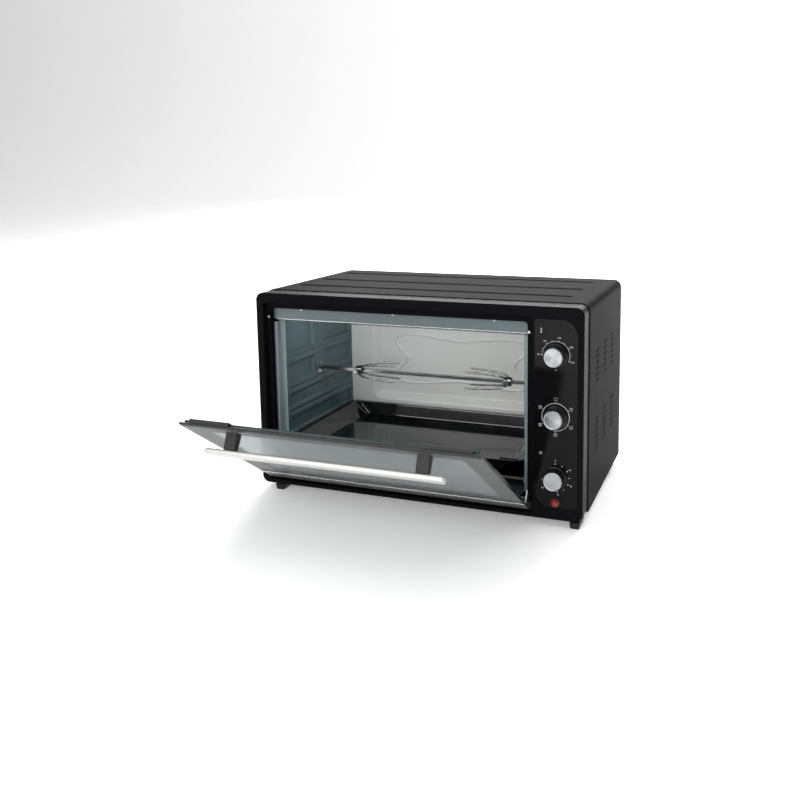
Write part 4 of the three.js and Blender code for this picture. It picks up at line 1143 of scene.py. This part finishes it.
def make_fork(side, way):
    """A hub with two bent wires, so four prongs, and the thumb screw that clamps it on the bar."""
    hub_x = Box(f"fork_screw_{side}").cx
    reach, spread = 78, 17
    half, radius = 6.5, 8.0
    shapes = []
    for tilt in (math.pi / 4, -math.pi / 4):
        c, s = math.cos(tilt), math.sin(tilt)
        flat = [(reach, spread + 4), (reach * 0.7, spread + 3), (reach * 0.4, spread + 1), (16, spread - 1.2),
                (7, spread - 4.5), (1.5, radius + 1)]
        flat += [(0, radius - 2), (0, 0), (0, -radius + 2)]
        flat += [(u, -v) for u, v in reversed(flat[:6])]
        path = [(hub_x + way * u, SPIT_Y + v * s, SPIT_Z + v * c) for u, v in flat]
        shapes.append(wire(path, 1.7, tip=7))
    hub = [(3.8, hub_x - half), (radius - 0.7, hub_x - half), (radius, hub_x - half + 0.7)]
    hub += [(radius, hub_x + half - 0.7), (radius - 0.7, hub_x + half), (3.8, hub_x + half)]
    shapes.append(lathe(hub, (SPIT_Y, SPIT_Z), "x", 48))
    piece(f"fork_{side}_prongs", join(*shapes), CHROME, f"fork_{side}", replaces=f"spit_fork_{side}")

    screw = Box(f"fork_screw_{side}")
    tip, end = screw.y1, screw.y0
    rings = []
    knurls = 24
    for y, grip in ((tip, 1.6), (tip - 0.5, 2.0), (tip - 7.5, 2.0), (tip - 7.5, 4.4), (tip - 9, 4.6),
                    (tip - 9.6, 5.2), (end + 1.0, 5.2), (end + 0.3, 4.7), (end, 4.2)):
        ring = []
        for k in range(knurls * 4):
            a = 2 * math.pi * k / (knurls * 4)
            r = grip - (0.25 if grip > 5 and k % 4 in (0, 1) else 0)
            ring.append((screw.cx + r * math.cos(a), y, screw.cz + r * math.sin(a)))
        rings.append(ring)
    piece(f"fork_{side}_thumbscrew", loft(rings), CHROME, f"screw_{side}", replaces=f"fork_screw_{side}",
          smooth=50)


# ------------------------------------------------------------------ door
HINGE = JOINTS["door_hinge"]
OPEN_ANGLE = -HINGE["range_deg"][0]       # degrees from closed, at rest
DOOR_MATRIX = Matrix.Translation(HINGE["pos_m"]) @ Matrix.Rotation(math.radians(OPEN_ANGLE), 4, "X")
GLASS_BOX = Box("door_outer_glass")
DOOR_X0, DOOR_X1 = GLASS_BOX.x0, GLASS_BOX.x1
FACE = -7.6                               # front of the outer glass, closed
OUTER_BACK = -3.8
INNER_Y0, INNER_Y1, INNER_TOP = -2.0, 1.2, 292
RAIL_TOP = 45.5
PROFILE_Z = (289, 296.3)
GRIP = {"y": (-41.2, -32.4), "z": (265, 279.4), "edge": 3.2, "end": 2.4}
WINDOW = (DOOR_X0 + 34, DOOR_X1 - 34, 59, 262)
CLIP_DROP = 14


def door_piece(name, shape, material, replaces=(), **options):
    return piece(name, shape, material, "door", replaces, matrix=DOOR_MATRIX, **options)


def pane(x0, x1, y0, y1, z0, z1, radius, edge=0.5):
    """Upright pane with ground edges."""
    rings = []
    for inset, y in ((edge, y0), (edge * 0.3, y0 + edge * 0.3), (0, y0 + edge), (0, y1 - edge),
                     (edge * 0.3, y1 - edge * 0.3), (edge, y1)):
        outline = rounded_rect(x0 + inset, x1 - inset, z0 + inset, z1 - inset, max(radius - inset, 0.3), 5)
        rings.append(ring(outline, y))
    return loft(rings)


def tint_edges(made, material):
    """Gives a pane's ground edges, where the glass is seen through its depth, their own colour."""
    made.data.materials.append(material)
    for polygon in made.data.polygons:
        if abs(polygon.normal.y) < 0.9:
            polygon.material_index = 1


def make_door_glass():
    outer = door_piece("outer_pane", pane(DOOR_X0, DOOR_X1, FACE, OUTER_BACK, RAIL_TOP + 0.3, PROFILE_Z[0] - 0.3, 1),
                       GLASS, "door_outer_glass")
    tint_edges(outer, DARK_EDGE)
    inner = door_piece("inner_pane", pane(DOOR_X0 + 4, DOOR_X1 - 4, INNER_Y0, INNER_Y1, RAIL_TOP - 3.2, INNER_TOP, 2),
                       INNER_GLASS, "door_inner_glass")
    tint_edges(inner, GLASS_EDGE)
    wx0, wx1, wz0, wz1 = WINDOW
    outer_edge = rounded_rect(DOOR_X0 + 0.6, DOOR_X1 - 0.6, RAIL_TOP + 0.9, PROFILE_Z[0] - 0.9, 1, 5)
    inner_edge = rounded_rect(wx0, wx1, wz0, wz1, 4, 5)
    y0, y1 = OUTER_BACK + 0.02, OUTER_BACK + 0.2
    rings = [ring(outer_edge, y0), ring(inner_edge, y0), ring(inner_edge, y1), ring(outer_edge, y1)]
    door_piece("pane_border", loft(rings, closed=True), GLASS_BORDER)


def make_door_frame():
    # The curve in from the door's face, the foot of the rail and its back
    rail = [(FACE + u, v) for u, v in ((0, RAIL_TOP), (0, 13.5), (0.25, 11.6), (0.8, 9.4), (1.6, 7.2), (2.1, 4.6),
                                       (2.3, 1.5), (2.4, -2.2))]
    rail += [(-4.6, -3.6), (-3.4, -4.4), (1.2, -4.4), (2.4, -3.8), (3.3, -2.9), (3.9, -1.9)]
    rail += [(4.2, -0.8), (4.2, RAIL_TOP - 0.6), (3.6, RAIL_TOP)]
    core = [(FACE + 1.5, RAIL_TOP - 5), (FACE + 1.5, 13), (FACE + 3.6, 7), (FACE + 3.8, -2), (-2.8, -3), (0.6, -3)]
    core += [(2, -2.1), (2.8, -0.6), (2.8, RAIL_TOP - 5)]
    slot = [(INNER_Y0 - 0.3, RAIL_TOP - 3.5), (INNER_Y1 + 0.3, RAIL_TOP - 3.5), (INNER_Y1 + 0.3, RAIL_TOP + 1),
            (INNER_Y0 - 0.3, RAIL_TOP + 1)]
    cuts = join(prism(core, DOOR_X0 - 1, DOOR_X1 + 1, "x"), prism(slot, DOOR_X0 - 1, DOOR_X1 + 1, "x"))
    door_piece("rail_extrusion", prism(rail, DOOR_X0, DOOR_X1, "x"), RAIL, "door_bottom_rail",
               cuts=cuts, bevel=0.25, bevel_angle=50)
    # Bright metal trim along the rail's top edge; its brightness and slight waves also paint the wavy reflection that
    # the glass shows along it
    ripples = fine_steps(DOOR_X0 + 1, DOOR_X1 - 1, 1.6, (), 0, 1)
    rings = []
    for x in ripples:
        swell = 0.16 * math.sin(2 * math.pi * x / 9.5)
        outline = rounded_rect(FACE - 0.7 - swell, FACE + 2.2, RAIL_TOP - 2.4 - swell, RAIL_TOP + 0.1, 0.6, 3)
        rings.append(ring(outline, x, "x"))
    door_piece("rail_trim_and_reflection", loft(rings), TRIM_AND_REFLECTION, smooth=60)

    z0, z1 = PROFILE_Z
    stripe = (z0 + z1) / 2
    section = [(FACE + 0.5, z0), (FACE, z0 + 0.5), (FACE, stripe - 1.3), (FACE + 0.5, stripe - 0.8)]
    section += [(FACE + 0.5, stripe + 0.8), (FACE, stripe + 1.3), (FACE, z1 - 0.6), (FACE + 0.6, z1)]
    section += [(OUTER_BACK - 0.5, z1), (OUTER_BACK, z1 - 0.5), (OUTER_BACK, z0)]
    door_piece("top_channel", prism(section, DOOR_X0, DOOR_X1, "x"), POST_PLASTIC, "door_top_profile",
               slot="casing_paint", smooth=30)
    for side in ("left", "right"):
        node = Box(f"door_glass_clip_{side}")
        back = INNER_Y1 + 1.3
        low, high = INNER_TOP - CLIP_DROP, z1 + 0.7
        outline = [(OUTER_BACK + 0.3, low), (OUTER_BACK + 0.3, high - 0.6), (OUTER_BACK + 0.9, high)]
        outline += [(back - 0.9, high), (back, high - 0.9), (back, low + 1.5), (back - 0.7, low)]
        slot = [(INNER_Y0 - 0.15, low - 1), (INNER_Y1 + 0.3, low - 1), (INNER_Y1 + 0.3, INNER_TOP + 0.3),
                (INNER_Y0 - 0.15, INNER_TOP + 0.3)]
        door_piece(f"glass_clip_{side}", prism(outline, node.x0, node.x1, "x"), POST_PLASTIC, node.name,
                   cuts=prism(slot, node.x0 - 1, node.x1 + 1, "x"), bevel=0.3, bevel_angle=50)
        refined(f"hinge_arm_{side}", f"door_arm_{side}", BRIGHT, "door", bevel=0.3)
        finish_node(f"hinge_pin_{side}", BRIGHT)


def make_handle():
    bar = Box("handle_bar")
    (y0, y1), (z0, z1) = GRIP["y"], GRIP["z"]

    def section(inset):
        return rounded_rect(y0 + inset, y1 - inset, z0 + inset, z1 - inset, max(GRIP["edge"] - inset, 0.4), 6)

    door_piece("handle_grip", soft_bar(section, bar.x0, bar.x1, GRIP["end"], "x"), HANDLE, "handle_bar", smooth=50)
    for side in ("left", "right"):
        post = Box(f"handle_post_{side}")
        foot, head = (FACE - 0.3, 271, 285), (y1 + 0.3, z0 + 3, z1 - 0.8)
        rings = []
        for t in (0, 0.1, 0.5, 0.9, 1):
            y = foot[0] + (head[0] - foot[0]) * t
            low = foot[1] + (head[1] - foot[1]) * t
            high = foot[2] + (head[2] - foot[2]) * t
            rings.append(ring(rounded_rect(post.x0, post.x1, low, high, 1.6, 5), y))
        door_piece(f"handle_arm_{side}", loft(rings), POST_PLASTIC, f"handle_post_{side}", smooth=40)


# ------------------------------------------------------------------ the whole
make_camera()
make_stage()
make_casing()
make_back()
make_bezel()
make_controls()
make_side_walls()
make_back_wall()
make_baffle()
finish_node("cavity_ceiling", WALL_COAT)
finish_node("cavity_floor", FLOOR_COAT)
make_heaters()
make_tray()
make_spit()
make_door_glass()
make_door_frame()
make_handle()
